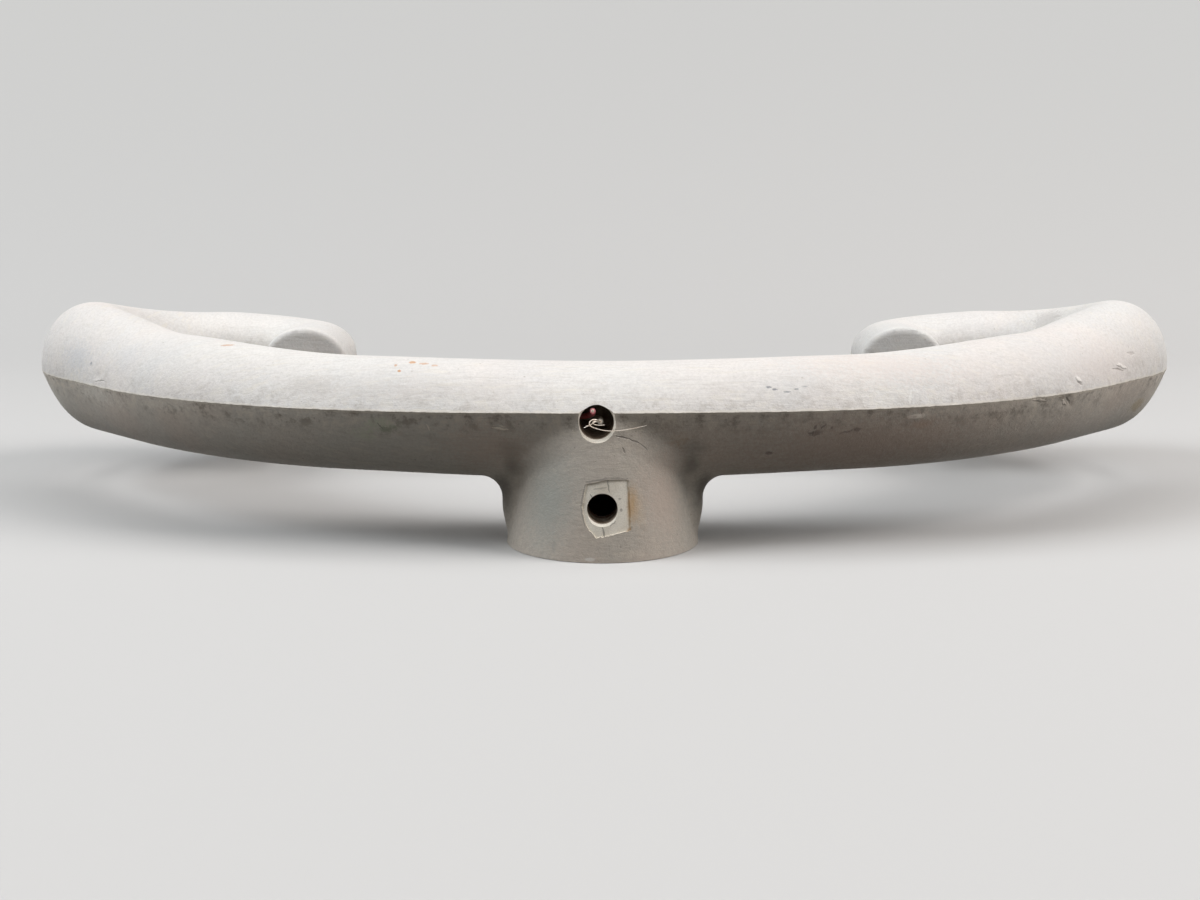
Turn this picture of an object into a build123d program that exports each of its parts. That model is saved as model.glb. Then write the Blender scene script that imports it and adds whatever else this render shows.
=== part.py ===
"""Ram's-horn control yoke for a light aircraft: two bonded mouldings over a steel core.

Millimetres. The origin is the centre of the shaft socket's mouth, in the hub's base face.
+Z runs out of the panel towards the pilot, +Y towards the tops of the horns, +X to the right.
"""

import os
from math import cos, pi, radians, sin

from build123d import *

# Hub: a cone round the shaft socket, with a web on each side under the crossbar
PART_Z = 31.1  # height of the plane where the two mouldings meet
HUB_BASE_RADIUS = 21.5
HUB_TOP_RADIUS = 15.5  # at the parting plane
WEB_FOOT_HALF_WIDTH = 21.0
WEB_HALF_WIDTH = 22.3
WEB_FLARE_HEIGHT = 9.0
WEB_TOP_DEPTH = 6.0  # of its buried top, below the parting plane
WEB_THICKNESS = 11.0
WEB_EDGE_RADIUS = 3.0
WEB_FILLET = 4.5

# Plan of each horn: straight runs and tangent arcs, from the hub's axis out to the tip
CENTRE_RUN = 29.0
SHOULDER_RADIUS = 110.0
SHOULDER_TURN = 47.0
SIDE_RUN = 26.0
LOOP_RADIUS = 31.6
LOOP_TURN = 131.0
ARM_RUN = 7.0
TIP_RADIUS = 17.0
TIP_RUN = 17.0
WHOLE_TURN = 270.0  # the tips point straight back towards the crossbar

# Horn section about the parting plane, at its largest
BAR_HALF_WIDTH = 16.0
GRIP_RISE = 17.2
BAR_DROP = 17.0
TIP_EDGE_RADIUS = 1.2

# Stations along a horn: shares of its length, of the half width, of the rise and of the drop,
# and how far its crown goes from the crossbar's to the grip's
STATION_SHARES = (
    (0.00, 1.00, 0.53, 1.00, 0.0),
    (0.20, 0.86, 0.59, 0.91, 0.0),
    (0.40, 0.90, 0.73, 0.89, 0.4),
    (0.58, 0.86, 1.00, 0.90, 1.0),
    (0.78, 0.70, 0.64, 0.70, 1.0),
    (0.90, 0.67, 0.53, 0.66, 1.0),
    (1.00, 0.69, 0.55, 0.67, 1.0),
)
SECTIONS = 40  # lofted sections along a horn
RIM_SECTIONS = 3  # round the edge of its end face

# Handles of the section's curves, as shares of its half width and its height
BAR_CROWN_SHARES = ((0.84, 0.42), (0.55, 1.00))
GRIP_CROWN_SHARES = ((1.03, 0.55), (0.60, 1.00))
BELLY_SHARES = ((0.82, 0.50), (0.55, 1.00))

# Steel core: a capped sleeve for the shaft, with a bar across its end for each horn
SHAFT_RADIUS = 11.11  # a 7/8 inch tube
SHAFT_CLEARANCE = 0.05
SLEEVE_RADIUS = 13.5
SLEEVE_HEIGHT = 21.9
CAP_THICKNESS = 2.5  # of the disc that closes its end
CORE_CLEARANCE = 0.05
ARMATURE_WIDTH = 8.0
ARMATURE_THICKNESS = 3.5
ARMATURE_OFFSET = 2.4  # towards the inside of the horn's bend
ARMATURE_LOOP_TURN = 90.0  # how far round the loop the bar goes

# Screws that hold the bars down in the rear moulding
SCREW_RADIUS = 1.5
SCREW_HEAD_RADIUS = 2.6
SCREW_HEAD_HEIGHT = 1.4
SCREW_LENGTH = 8.0
SCREW_CLEARANCE = 0.1
THREAD_CLEARANCE = 0.02
SCREW_PLACE_SHARES = (0.16, 0.50, 0.84)  # of the bar's length

# Cross bolt through the hub's front and rear walls, and the cord outlet above it
BOLT_RADIUS = 3.25
BOLT_HEIGHT = 11.1
OUTLET_RADIUS = 3.7
OUTLET_HEIGHT = 29.1
OUTLET_X = -1.2

# The switch's two leads, and the frayed strand left on one of them
WIRE_RADIUS = 0.6
WIRE_PITCH = 1.6
WIRE_CLEARANCE = 0.25
WIRE_OFFSET = 4.6  # towards the outside of the horn's bend
WIRE_BEND_RADIUS = 7.0
STUB_RECESS = 1.0  # of the cut ends, inside the outlet's mouth
SIGNAL_STUB_RISE = 2.4  # of the cut ends, above the outlet's axis
RETURN_STUB_RISE = 0.1
STRAND_RADIUS = 0.15
ARC_SHARE = 0.45  # of the shorter run beside it, taken by each bend of the strand

# Loose strand's route from the outlet's mouth: to the right, forwards and upwards
STRAND_POINTS = (
    (0.5, 0.5, 0.6),
    (-0.9, 1.2, 0.9),
    (-2.0, 1.4, 0.3),
    (-2.2, 1.5, -0.7),
    (-1.2, 1.5, -1.4),
    (0.6, 1.5, -1.6),
    (3.4, 1.2, -1.6),
    (6.6, 0.5, -1.1),
    (10.6, -0.9, -0.7),
)

# Push-to-talk switch in the left horn's end face
SWITCH_DROP = 2.5  # of its axis, below the parting plane
CAN_RADIUS = 3.5
CAN_WALL = 0.5
CAN_LENGTH = 12.0
CAN_CLEARANCE = 0.05
BEZEL_RADIUS = 4.1
BEZEL_THICKNESS = 1.3
WASHER_RADIUS = 3.95
WASHER_THICKNESS = 0.4
BUTTON_RADIUS = 2.1
BUTTON_CLEARANCE = 0.06
BUTTON_STAND = 2.2  # out of the bezel at rest
BUTTON_TRAVEL = 1.2
BUTTON_EDGE_RADIUS = 0.4
COLLAR_RADIUS = 2.7
COLLAR_THICKNESS = 0.8
COLLAR_GAP = 0.15
STEM_RADIUS = 0.8
STEM_LENGTH = 4.6
BRIDGE_RADIUS = 2.6
BRIDGE_THICKNESS = 0.4
CONTACT_GAP = 0.05  # left under the bridge with the button pressed home
BASE_THICKNESS = 2.0
TERMINAL_RADIUS = 0.5
TERMINAL_PITCH = 4.2
TERMINAL_TAIL = 2.5
SPRING_RADIUS = 0.95
SPRING_WIRE_RADIUS = 0.18
SPRING_TURNS = 4
BOOT_WALL = 0.3
BOOT_LENGTH = 3.6
BOOT_CLEARANCE = 0.02
BORE_ROOM = 0.8  # behind the boots

OVERRUN = 5.0  # how far cuts run past what they cut

# Places that follow from the sizes above
TIP_TURN = WHOLE_TURN - SHOULDER_TURN - LOOP_TURN
SWITCH_Z = PART_Z - SWITCH_DROP
SOCKET_RADIUS = SHAFT_RADIUS + SHAFT_CLEARANCE
CAP_TOP = SLEEVE_HEIGHT + CAP_THICKNESS
ARMATURE_Z = CAP_TOP + ARMATURE_THICKNESS / 2
ARMATURE_TOP = CAP_TOP + ARMATURE_THICKNESS
CAN_FRONT = BEZEL_THICKNESS + WASHER_THICKNESS  # in front of the end face
CAN_BACK = CAN_LENGTH - CAN_FRONT  # behind the end face, like every depth below
COLLAR_FRONT = CAN_WALL + COLLAR_GAP - CAN_FRONT
STEM_END = COLLAR_FRONT + COLLAR_THICKNESS + STEM_LENGTH
BRIDGE_BACK = STEM_END + BRIDGE_THICKNESS
CONTACT_DEPTH = BRIDGE_BACK + BUTTON_TRAVEL + CONTACT_GAP
BASE_FRONT = CAN_BACK - BASE_THICKNESS
TAIL_END = CAN_BACK + TERMINAL_TAIL
BOOT_START = TAIL_END - BOOT_LENGTH / 2
BORE_DEPTH = TAIL_END + BOOT_LENGTH / 2 + BORE_ROOM


def run_after(edge, length):
    """Straight run that carries on from the end of an edge."""
    start = edge @ 1
    return Line(start, start + (edge % 1) * length)


def turn_after(edge, radius, turn):
    """Right-hand arc that carries on from the end of an edge."""
    return JernArc(edge @ 1, edge % 1, radius, -turn)


def out_to_loop(first, offset, loop_turn):
    """Edges from the end of the crossbar's straight run to a place in the loop."""
    edges = [first]
    edges.append(turn_after(edges[-1], SHOULDER_RADIUS + offset, SHOULDER_TURN))
    edges.append(run_after(edges[-1], SIDE_RUN))
    edges.append(turn_after(edges[-1], LOOP_RADIUS + offset, loop_turn))
    return edges


def spine():
    """Plan line of the left horn, in the parting plane, from the hub's axis to the tip."""
    first = Line((0, 0, PART_Z), (-CENTRE_RUN, 0, PART_Z))
    edges = out_to_loop(first, 0, LOOP_TURN)
    edges.append(run_after(edges[-1], ARM_RUN))
    edges.append(turn_after(edges[-1], TIP_RADIUS, TIP_TURN))
    edges.append(run_after(edges[-1], TIP_RUN))
    return Wire([edge.edge() for edge in edges])


SPINE = spine()
TIP = SPINE @ 1  # centre of the left end face, in the parting plane


def crown(grip_share):
    """Handles of the crown's curve, between the crossbar's and the grip's."""
    return [
        [bar + (grip - bar) * grip_share for bar, grip in zip(bar_handle, grip_handle)]
        for bar_handle, grip_handle in zip(BAR_CROWN_SHARES, GRIP_CROWN_SHARES)
    ]


def section(share, upper, inset=0):
    """Closed half section of the left horn, above or below the parting plane."""
    for low, high in zip(STATION_SHARES, STATION_SHARES[1:]):
        if share <= high[0]:
            break
    step = min((share - low[0]) / (high[0] - low[0]), 1)
    ease = step * step * (3 - 2 * step)
    width, rise, drop, grip_share = (a + (b - a) * ease for a, b in zip(low[1:], high[1:]))
    outwards = Vector(0, 0, 1).cross(SPINE % share) * (width * BAR_HALF_WIDTH - inset)
    upwards = Vector(0, 0, rise * GRIP_RISE - inset if upper else inset - drop * BAR_DROP)
    (side, side_up), (top, top_up) = crown(grip_share) if upper else BELLY_SHARES

    def point(out_share, up_share):
        return (SPINE @ share) + outwards * out_share + upwards * up_share

    outer = Bezier(point(1, 0), point(side, side_up), point(top, top_up), point(0, 1))
    inner = Bezier(point(0, 1), point(-top, top_up), point(-side, side_up), point(-1, 0))
    return Wire([outer.edge(), inner.edge(), Line(point(-1, 0), point(1, 0)).edge()])


def horn(upper):
    """Left horn, above or below the parting plane, with its end face's edge rounded."""
    last = 1 - TIP_EDGE_RADIUS / SPINE.length
    body = Solid.make_loft([section(last * i / SECTIONS, upper) for i in range(SECTIONS + 1)])
    rim = []
    for i in range(RIM_SECTIONS + 1):
        angle = pi / 2 * i / RIM_SECTIONS
        back = TIP_EDGE_RADIUS * (1 - sin(angle))
        rim.append(section(1 - back / SPINE.length, upper, TIP_EDGE_RADIUS * (1 - cos(angle))))
    return Part() + body + Solid.make_loft(rim)


def both_sides(body):
    """A left body joined to its mirror image."""
    return Part() + body + body.mirror(Plane.YZ)


def rod_y(radius, start, end, x=0.0, z=0.0):
    """Cylinder along Y from one place to another."""
    place = Plane((x, start, z), x_dir=(1, 0, 0), z_dir=(0, 1 if end > start else -1, 0))
    return extrude(place * Circle(radius), abs(end - start))


def swept(profile, edges):
    """Solid of a profile carried along joined edges, from the start of the first."""
    path = Wire([edge.edge() for edge in edges])
    place = Plane(path @ 0, x_dir=Vector(0, 0, 1).cross(path % 0), z_dir=path % 0)
    return sweep(place * profile, path=path)


def hub():
    """Cone round the socket, without the webs."""
    return Pos(0, 0, PART_Z / 2) * Cone(HUB_BASE_RADIUS, HUB_TOP_RADIUS, PART_Z)


def web():
    """Block behind the cone whose ends widen upwards on both sides of it."""
    top = PART_Z - WEB_TOP_DEPTH
    half = [(WEB_FOOT_HALF_WIDTH, 0), (WEB_HALF_WIDTH, WEB_FLARE_HEIGHT), (WEB_HALF_WIDTH, top)]
    outline = Polyline(*half, *[(-x, z) for x, z in reversed(half)], close=True)
    block = extrude(Plane.XZ * make_face(outline), WEB_THICKNESS / 2, both=True)
    corners = [
        e for e in block.edges().filter_by(Axis.Y, reverse=True)
        if abs(e.center().X) > (WEB_FOOT_HALF_WIDTH + SLEEVE_RADIUS) / 2
    ]
    return fillet(corners, WEB_EDGE_RADIUS)


def bar_with_hub():
    """Lower halves of both horns joined to the hub, solid inside."""
    body = both_sides(horn(False)) + web()
    roots = [
        e for e in body.edges().filter_by(GeomType.BSPLINE)
        if abs(e.center().X) < WEB_HALF_WIDTH + WEB_FILLET
        and abs(e.center().Y) < WEB_THICKNESS
        and e.center().Z < PART_Z - WEB_TOP_DEPTH
    ]
    return Part() + body.fillet(WEB_FILLET, roots) + hub()


def armature_edges():
    """Plan line of the left armature bar, at the height of its middle."""
    y = ARMATURE_OFFSET
    first = Line((0, y, ARMATURE_Z), (-CENTRE_RUN, y, ARMATURE_Z))
    return out_to_loop(first, -ARMATURE_OFFSET, ARMATURE_LOOP_TURN)


def screw_places():
    """Points on the middle line of the left bar where its screws stand."""
    path = Wire([edge.edge() for edge in armature_edges()])
    return [path @ share for share in SCREW_PLACE_SHARES]


def upright(radius, point, low, high):
    """Cylinder along Z above or below a point in plan."""
    return Pos(point.X, point.Y, (low + high) / 2) * Cylinder(radius, high - low)


def armature():
    """Left armature bar, with clearance holes for its screws."""
    bar = swept(Rectangle(ARMATURE_WIDTH, ARMATURE_THICKNESS), armature_edges())
    for point in screw_places():
        hole = SCREW_RADIUS + SCREW_CLEARANCE
        bar -= upright(hole, point, CAP_TOP - OVERRUN, ARMATURE_TOP + OVERRUN)
    return bar


def armature_groove():
    """Groove in the rear moulding round the left bar, open at the parting plane."""
    floor = CAP_TOP - CORE_CLEARANCE
    width = ARMATURE_WIDTH + 2 * CORE_CLEARANCE
    middle = Pos(0, (floor + PART_Z) / 2 - ARMATURE_Z)
    end = armature_edges()
    end.append(run_after(end[-1], CORE_CLEARANCE))
    return swept(middle * Rectangle(width, PART_Z - floor), end)


def screw(point):
    """Pan-head screw that stands on the bar at a point."""
    tip = ARMATURE_TOP - SCREW_LENGTH
    shank = upright(SCREW_RADIUS, point, tip, ARMATURE_TOP)
    head = upright(SCREW_HEAD_RADIUS, point, ARMATURE_TOP, ARMATURE_TOP + SCREW_HEAD_HEIGHT)
    return chamfer(head.edges().group_by(Axis.Z)[-1], SCREW_CLEARANCE) + shank


def hub_front(height):
    """Y of the hub's front surface on its middle line, at a height."""
    slope = (HUB_BASE_RADIUS - HUB_TOP_RADIUS) / PART_Z
    return -(HUB_BASE_RADIUS - slope * height)


def mouth_front(height):
    """Y of the outlet's mouth at a height, on the hub or on the crossbar's edge."""
    edge_share = STATION_SHARES[0][1]
    return min(hub_front(height), -BAR_HALF_WIDTH * edge_share)


def wire_edges(side, stub_rise):
    """Route of a lead, from its cut end in the outlet to the switch; side is -1 or 1."""
    offset = WIRE_OFFSET + side * WIRE_PITCH / 2
    tip_offset = side * TERMINAL_PITCH / 2
    stub_x = OUTLET_X - side * WIRE_PITCH / 2
    stub_z = OUTLET_HEIGHT + stub_rise
    stub = (stub_x, mouth_front(stub_z) + STUB_RECESS, stub_z)
    corner = (stub_x, -offset, SWITCH_Z)
    shoulder = (-CENTRE_RUN, -offset, SWITCH_Z)
    edges = list(FilletPolyline(stub, corner, shoulder, radius=WIRE_BEND_RADIUS).edges())
    edges += out_to_loop(edges[-1], offset, LOOP_TURN)[1:]
    turn = radians(TIP_TURN)
    tip_radius = TIP_RADIUS + tip_offset
    side_step = offset - tip_offset
    late = -side_step * cos(turn) / sin(turn)
    edges.append(run_after(edges[-1], ARM_RUN + late))
    edges.append(turn_after(edges[-1], tip_radius, TIP_TURN))
    tip_step = side_step * sin(turn) - late * cos(turn)
    edges.append(run_after(edges[-1], TIP_RUN + tip_step - TAIL_END))
    return edges


def wire(side, stub_rise):
    """One insulated lead."""
    return swept(Circle(WIRE_RADIUS), wire_edges(side, stub_rise))


def wire_groove(side):
    """Groove in the rear moulding for one lead, open at the parting plane."""
    half = WIRE_RADIUS + WIRE_CLEARANCE
    edges = wire_edges(side, SWITCH_Z - OUTLET_HEIGHT)
    middle = Pos(0, (SWITCH_DROP - half) / 2)
    return swept(middle * Rectangle(2 * half, SWITCH_DROP + half), edges)


def strand_points():
    """Loose strand's points, from the cut end of the return lead."""
    mouth = Vector(OUTLET_X, mouth_front(OUTLET_HEIGHT), OUTLET_HEIGHT)
    start = wire_edges(-1, RETURN_STUB_RISE)[0] @ 0
    return [start] + [mouth + Vector(right, -out, up) for right, out, up in STRAND_POINTS]


def strand():
    """Loose strand as a plain tube whose arcs are as large as its runs allow."""
    points = strand_points()
    radii = []
    for before, at, after in zip(points, points[1:], points[2:]):
        half_turn = radians((at - before).get_angle(after - at) / 2)
        shorter = min((at - before).length, (after - at).length)
        radii.append(ARC_SHARE * shorter * cos(half_turn) / sin(half_turn))
    return swept(Circle(STRAND_RADIUS), FilletPolyline(*points, radius=radii).edges())


def at_depth(depth):
    """Y of a depth behind the left end face."""
    return TIP.Y + depth


def switch_rod(radius, start, end, side=0):
    """Cylinder along the switch's axis between two depths, or along one terminal's."""
    x = TIP.X + side * TERMINAL_PITCH / 2
    return rod_y(radius, at_depth(start), at_depth(end), x, SWITCH_Z)


def switch_can():
    """Turned shell of the switch, open at the back."""
    can = switch_rod(CAN_RADIUS, -CAN_FRONT, CAN_BACK)
    can -= switch_rod(CAN_RADIUS - CAN_WALL, CAN_WALL - CAN_FRONT, CAN_BACK + OVERRUN)
    hole = BUTTON_RADIUS + BUTTON_CLEARANCE
    return can - switch_rod(hole, -CAN_FRONT - OVERRUN, CAN_BACK)


def ring(radius, start, end):
    """Ring that fits round the can between two depths."""
    hole = switch_rod(CAN_RADIUS + CAN_CLEARANCE, start - OVERRUN, end + OVERRUN)
    return switch_rod(radius, start, end) - hole


def switch_button():
    """Cap with a stop collar and the stem that carries the contact bridge."""
    cap = switch_rod(BUTTON_RADIUS, -CAN_FRONT - BUTTON_STAND, COLLAR_FRONT)
    rim = cap.edges().group_by(Axis.Y)[0]
    cap = fillet(rim, BUTTON_EDGE_RADIUS)
    collar_back = COLLAR_FRONT + COLLAR_THICKNESS
    collar = switch_rod(COLLAR_RADIUS, COLLAR_FRONT, collar_back)
    return cap + collar + switch_rod(STEM_RADIUS, collar_back, STEM_END)


def switch_spring():
    """Return spring between the contact bridge and the base."""
    length = BASE_FRONT - BRIDGE_BACK - 2 * SPRING_WIRE_RADIUS
    coil = Helix(pitch=length / SPRING_TURNS, height=length, radius=SPRING_RADIUS)
    profile = Plane(coil @ 0, z_dir=coil % 0) * Circle(SPRING_WIRE_RADIUS)
    upright_spring = sweep(profile, path=coil)
    place = Plane(
        (TIP.X, at_depth(BRIDGE_BACK + SPRING_WIRE_RADIUS), SWITCH_Z), z_dir=(0, 1, 0)
    )
    return place * upright_spring


def switch_base():
    """Insulating disc in the back of the can, bored for the terminals."""
    base = switch_rod(CAN_RADIUS - CAN_WALL - BOOT_CLEARANCE, BASE_FRONT, CAN_BACK)
    for side in (-1, 1):
        hole = TERMINAL_RADIUS + BOOT_CLEARANCE
        base -= switch_rod(hole, BASE_FRONT - OVERRUN, CAN_BACK + OVERRUN, side)
    return base


def boot(side):
    """Shrink sleeve over the joint of a lead and its terminal."""
    inner = WIRE_RADIUS + BOOT_CLEARANCE
    end = BOOT_START + BOOT_LENGTH
    tube = switch_rod(inner + BOOT_WALL, BOOT_START, end, side)
    return tube - switch_rod(inner, BOOT_START - OVERRUN, end + OVERRUN, side)


def bolt_bore():
    """Cut for the cross bolt, right through the hub."""
    far = HUB_BASE_RADIUS + OVERRUN
    return rod_y(BOLT_RADIUS, -far, far, 0, BOLT_HEIGHT)


def outlet_bore():
    """Cut for the cord outlet, in as far as the leads' grooves."""
    back = WIRE_PITCH - WIRE_OFFSET
    return rod_y(OUTLET_RADIUS, -HUB_BASE_RADIUS - OVERRUN, back, OUTLET_X, OUTLET_HEIGHT)


def switch_bore():
    """Cut for the switch, in the left end face."""
    return switch_rod(CAN_RADIUS + CAN_CLEARANCE, -OVERRUN, BORE_DEPTH)


def front_half():
    """Moulding on the pilot's side."""
    return both_sides(horn(True)) - outlet_bore() - switch_bore()


def rear_half():
    """Moulding on the panel's side, with the hub and every groove for the core."""
    body = bar_with_hub()
    body -= upright(SLEEVE_RADIUS + CORE_CLEARANCE, Vector(), -OVERRUN, CAP_TOP)
    body -= armature_groove()
    body -= armature_groove().mirror(Plane.YZ)
    for side in (-1, 1):
        body -= wire_groove(side)
    for point in screw_places():
        for x in (point.X, -point.X):
            place = Vector(x, point.Y)
            tip = ARMATURE_TOP - SCREW_LENGTH - THREAD_CLEARANCE
            body -= upright(SCREW_RADIUS + THREAD_CLEARANCE, place, tip, PART_Z)
    return body - bolt_bore() - outlet_bore() - switch_bore()


def shaft_sleeve():
    """Steel sleeve that takes the control shaft, cross-bored for the bolt."""
    tube = upright(SLEEVE_RADIUS, Vector(), 0, SLEEVE_HEIGHT)
    return tube - upright(SOCKET_RADIUS, Vector(), -OVERRUN, SLEEVE_HEIGHT + OVERRUN) - bolt_bore()


def screws():
    """All the screws of both bars."""
    places = [Vector(x, p.Y) for p in screw_places() for x in (p.X, -p.X)]
    return Compound([screw(place).solid() for place in places])


def pieces():
    """Every node of the yoke, by name."""
    left_bar = armature()
    return {
        "front_half": front_half(),
        "rear_half": rear_half(),
        "shaft_sleeve": shaft_sleeve(),
        "sleeve_cap": upright(SLEEVE_RADIUS, Vector(), SLEEVE_HEIGHT, CAP_TOP),
        "armature_left": left_bar,
        "armature_right": left_bar.mirror(Plane.YZ),
        "armature_screws": screws(),
        "wire_signal": wire(1, SIGNAL_STUB_RISE),
        "wire_return": wire(-1, RETURN_STUB_RISE),
        "wire_strand": strand(),
        "wire_boots": Compound([boot(-1).solid(), boot(1).solid()]),
        "switch_can": switch_can(),
        "switch_bezel": ring(BEZEL_RADIUS, -CAN_FRONT, -WASHER_THICKNESS),
        "switch_washer": ring(WASHER_RADIUS, -WASHER_THICKNESS, 0),
        "switch_button": switch_button(),
        "switch_bridge": switch_rod(BRIDGE_RADIUS, STEM_END, BRIDGE_BACK),
        "switch_spring": switch_spring(),
        "switch_base": switch_base(),
        "terminal_signal": switch_rod(TERMINAL_RADIUS, CONTACT_DEPTH, TAIL_END, 1),
        "terminal_return": switch_rod(TERMINAL_RADIUS, CONTACT_DEPTH, TAIL_END, -1),
    }


if __name__ == "__main__":
    os.makedirs("parts", exist_ok=True)
    for side, rise in ((1, SIGNAL_STUB_RISE), (-1, RETURN_STUB_RISE)):
        length = sum(edge.edge().length for edge in wire_edges(side, rise))
        print("lead", round(length, 1), "volume", round(length * pi * WIRE_RADIUS**2, 1))
    for name, body in pieces().items():
        export_step(body, f"parts/{name}.step")
        print(name, round(body.volume, 1))
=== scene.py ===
"""Dresses the ram's-horn control yoke: worn mouldings, rusted core, talk switch and cut leads.

Sizes are in millimetres, in the frame of the solids, and become metres where a mesh is made.
"""

import logging
import math
from dataclasses import dataclass, field, replace
from enum import Enum
from itertools import product

import bmesh
import bpy
import numpy as np
from mathutils import Matrix, Vector


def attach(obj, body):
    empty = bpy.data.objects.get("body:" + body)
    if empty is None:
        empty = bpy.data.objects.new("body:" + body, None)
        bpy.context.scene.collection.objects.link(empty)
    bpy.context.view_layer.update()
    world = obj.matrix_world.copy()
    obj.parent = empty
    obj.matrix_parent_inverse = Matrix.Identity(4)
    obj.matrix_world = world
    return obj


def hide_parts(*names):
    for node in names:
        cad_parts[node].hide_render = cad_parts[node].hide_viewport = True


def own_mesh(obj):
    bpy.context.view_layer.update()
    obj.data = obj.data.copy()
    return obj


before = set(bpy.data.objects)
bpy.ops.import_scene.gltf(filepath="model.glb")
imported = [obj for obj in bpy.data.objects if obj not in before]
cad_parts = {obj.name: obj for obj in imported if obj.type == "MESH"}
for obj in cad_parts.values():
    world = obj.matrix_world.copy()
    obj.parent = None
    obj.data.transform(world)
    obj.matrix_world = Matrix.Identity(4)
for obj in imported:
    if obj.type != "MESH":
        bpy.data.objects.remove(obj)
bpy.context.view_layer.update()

Piece = bpy.types.Object
Socket = bpy.types.NodeSocket
Colour = tuple[float, float, float]
Place = tuple[float, float, float]

MM = 0.001
PART_Z = 31.1
HUB_BASE_RADIUS = 21.5
HUB_TOP_RADIUS = 15.5
BAR_HALF_WIDTH = 16.0
OUTLET_X = -1.2
OUTLET_HEIGHT = 29.1
SWITCH_Z = 28.6
SWITCH_BORE = 3.55
PATCH_DEPTH = 0.28
LOG = logging.getLogger("yoke")

# Stations along a horn: shares of its length, of the half width, of the rise and of the drop,
# and how far its crown goes from the crossbar's to the grip's
STATION_SHARES = (
    (0.00, 1.00, 0.53, 1.00, 0.0),
    (0.20, 0.86, 0.59, 0.91, 0.0),
    (0.40, 0.90, 0.73, 0.89, 0.4),
    (0.58, 0.86, 1.00, 0.90, 1.0),
    (0.78, 0.70, 0.64, 0.70, 1.0),
    (0.90, 0.67, 0.53, 0.66, 1.0),
    (1.00, 0.69, 0.55, 0.67, 1.0),
)


class Half(Enum):
    """The two bonded mouldings, and the handles of their curves at the crossbar and the grip."""

    FRONT = (((0.84, 0.42), (0.55, 1.00)), ((1.03, 0.55), (0.60, 1.00)))
    REAR = (((0.82, 0.50), (0.55, 1.00)), ((0.82, 0.50), (0.55, 1.00)))


class Slot(Enum):
    """Material slots of the record that new pieces belong to."""

    MOULDING = "moulding"
    PLATED = "plated_steel"
    BUTTON = "button_plastic"
    STRAND = "strand_tinned"


# Small helpers for fields


def join_round(a: np.ndarray, b: np.ndarray, radius: np.ndarray | float) -> np.ndarray:
    """Union of two fields with a hollow fillet between them."""
    bend = np.hypot(np.maximum(radius - a, 0), np.maximum(radius - b, 0))
    return np.maximum(radius, np.minimum(a, b)) - bend


def cut_round(a: np.ndarray, b: np.ndarray, radius: float) -> np.ndarray:
    """Overlap of two fields with its edge rounded."""
    bend = np.hypot(np.maximum(radius + a, 0), np.maximum(radius + b, 0))
    return np.minimum(-radius, np.maximum(a, b)) + bend


def smooth_share(value: np.ndarray) -> np.ndarray:
    """Eased share between 0 and 1."""
    value = np.clip(value, 0, 1)
    return value * value * (3 - 2 * value)


def hub_radius(height: float) -> float:
    """Radius of the hub's cone at a height."""
    return HUB_BASE_RADIUS - (HUB_BASE_RADIUS - HUB_TOP_RADIUS) / PART_Z * height


@dataclass(frozen=True)
class Run:
    """One straight run or right-hand arc of a horn's middle line, in plan."""

    x: float
    y: float
    heading: float
    length: float
    radius: float = 0.0

    def measure(self, x: np.ndarray, y: np.ndarray) -> tuple[np.ndarray, np.ndarray]:
        """Distances of plan points along the run and to its left.

        Args:
            x: X of the points.
            y: Y of the points.

        Returns:
            Along and aside, for each point.
        """
        ahead = (math.cos(self.heading), math.sin(self.heading))
        if not self.radius:
            dx, dy = x - self.x, y - self.y
            return dx * ahead[0] + dy * ahead[1], dy * ahead[0] - dx * ahead[1]
        dx = x - self.x - self.radius * ahead[1]
        dy = y - self.y + self.radius * ahead[0]
        middle = self.length / self.radius / 2
        turned = self.heading + math.pi / 2 - np.arctan2(dy, dx) - middle
        turned = (turned + math.pi) % (2 * math.pi) - math.pi + middle
        return turned * self.radius, np.hypot(dx, dy) - self.radius

    def end(self) -> Place:
        """Place and heading at the end of the run.

        Returns:
            X, Y and the heading.
        """
        if not self.radius:
            return (
                self.x + self.length * math.cos(self.heading),
                self.y + self.length * math.sin(self.heading),
                self.heading,
            )
        after = self.heading - self.length / self.radius
        return (
            self.x + self.radius * (math.sin(self.heading) - math.sin(after)),
            self.y - self.radius * (math.cos(self.heading) - math.cos(after)),
            after,
        )


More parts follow.
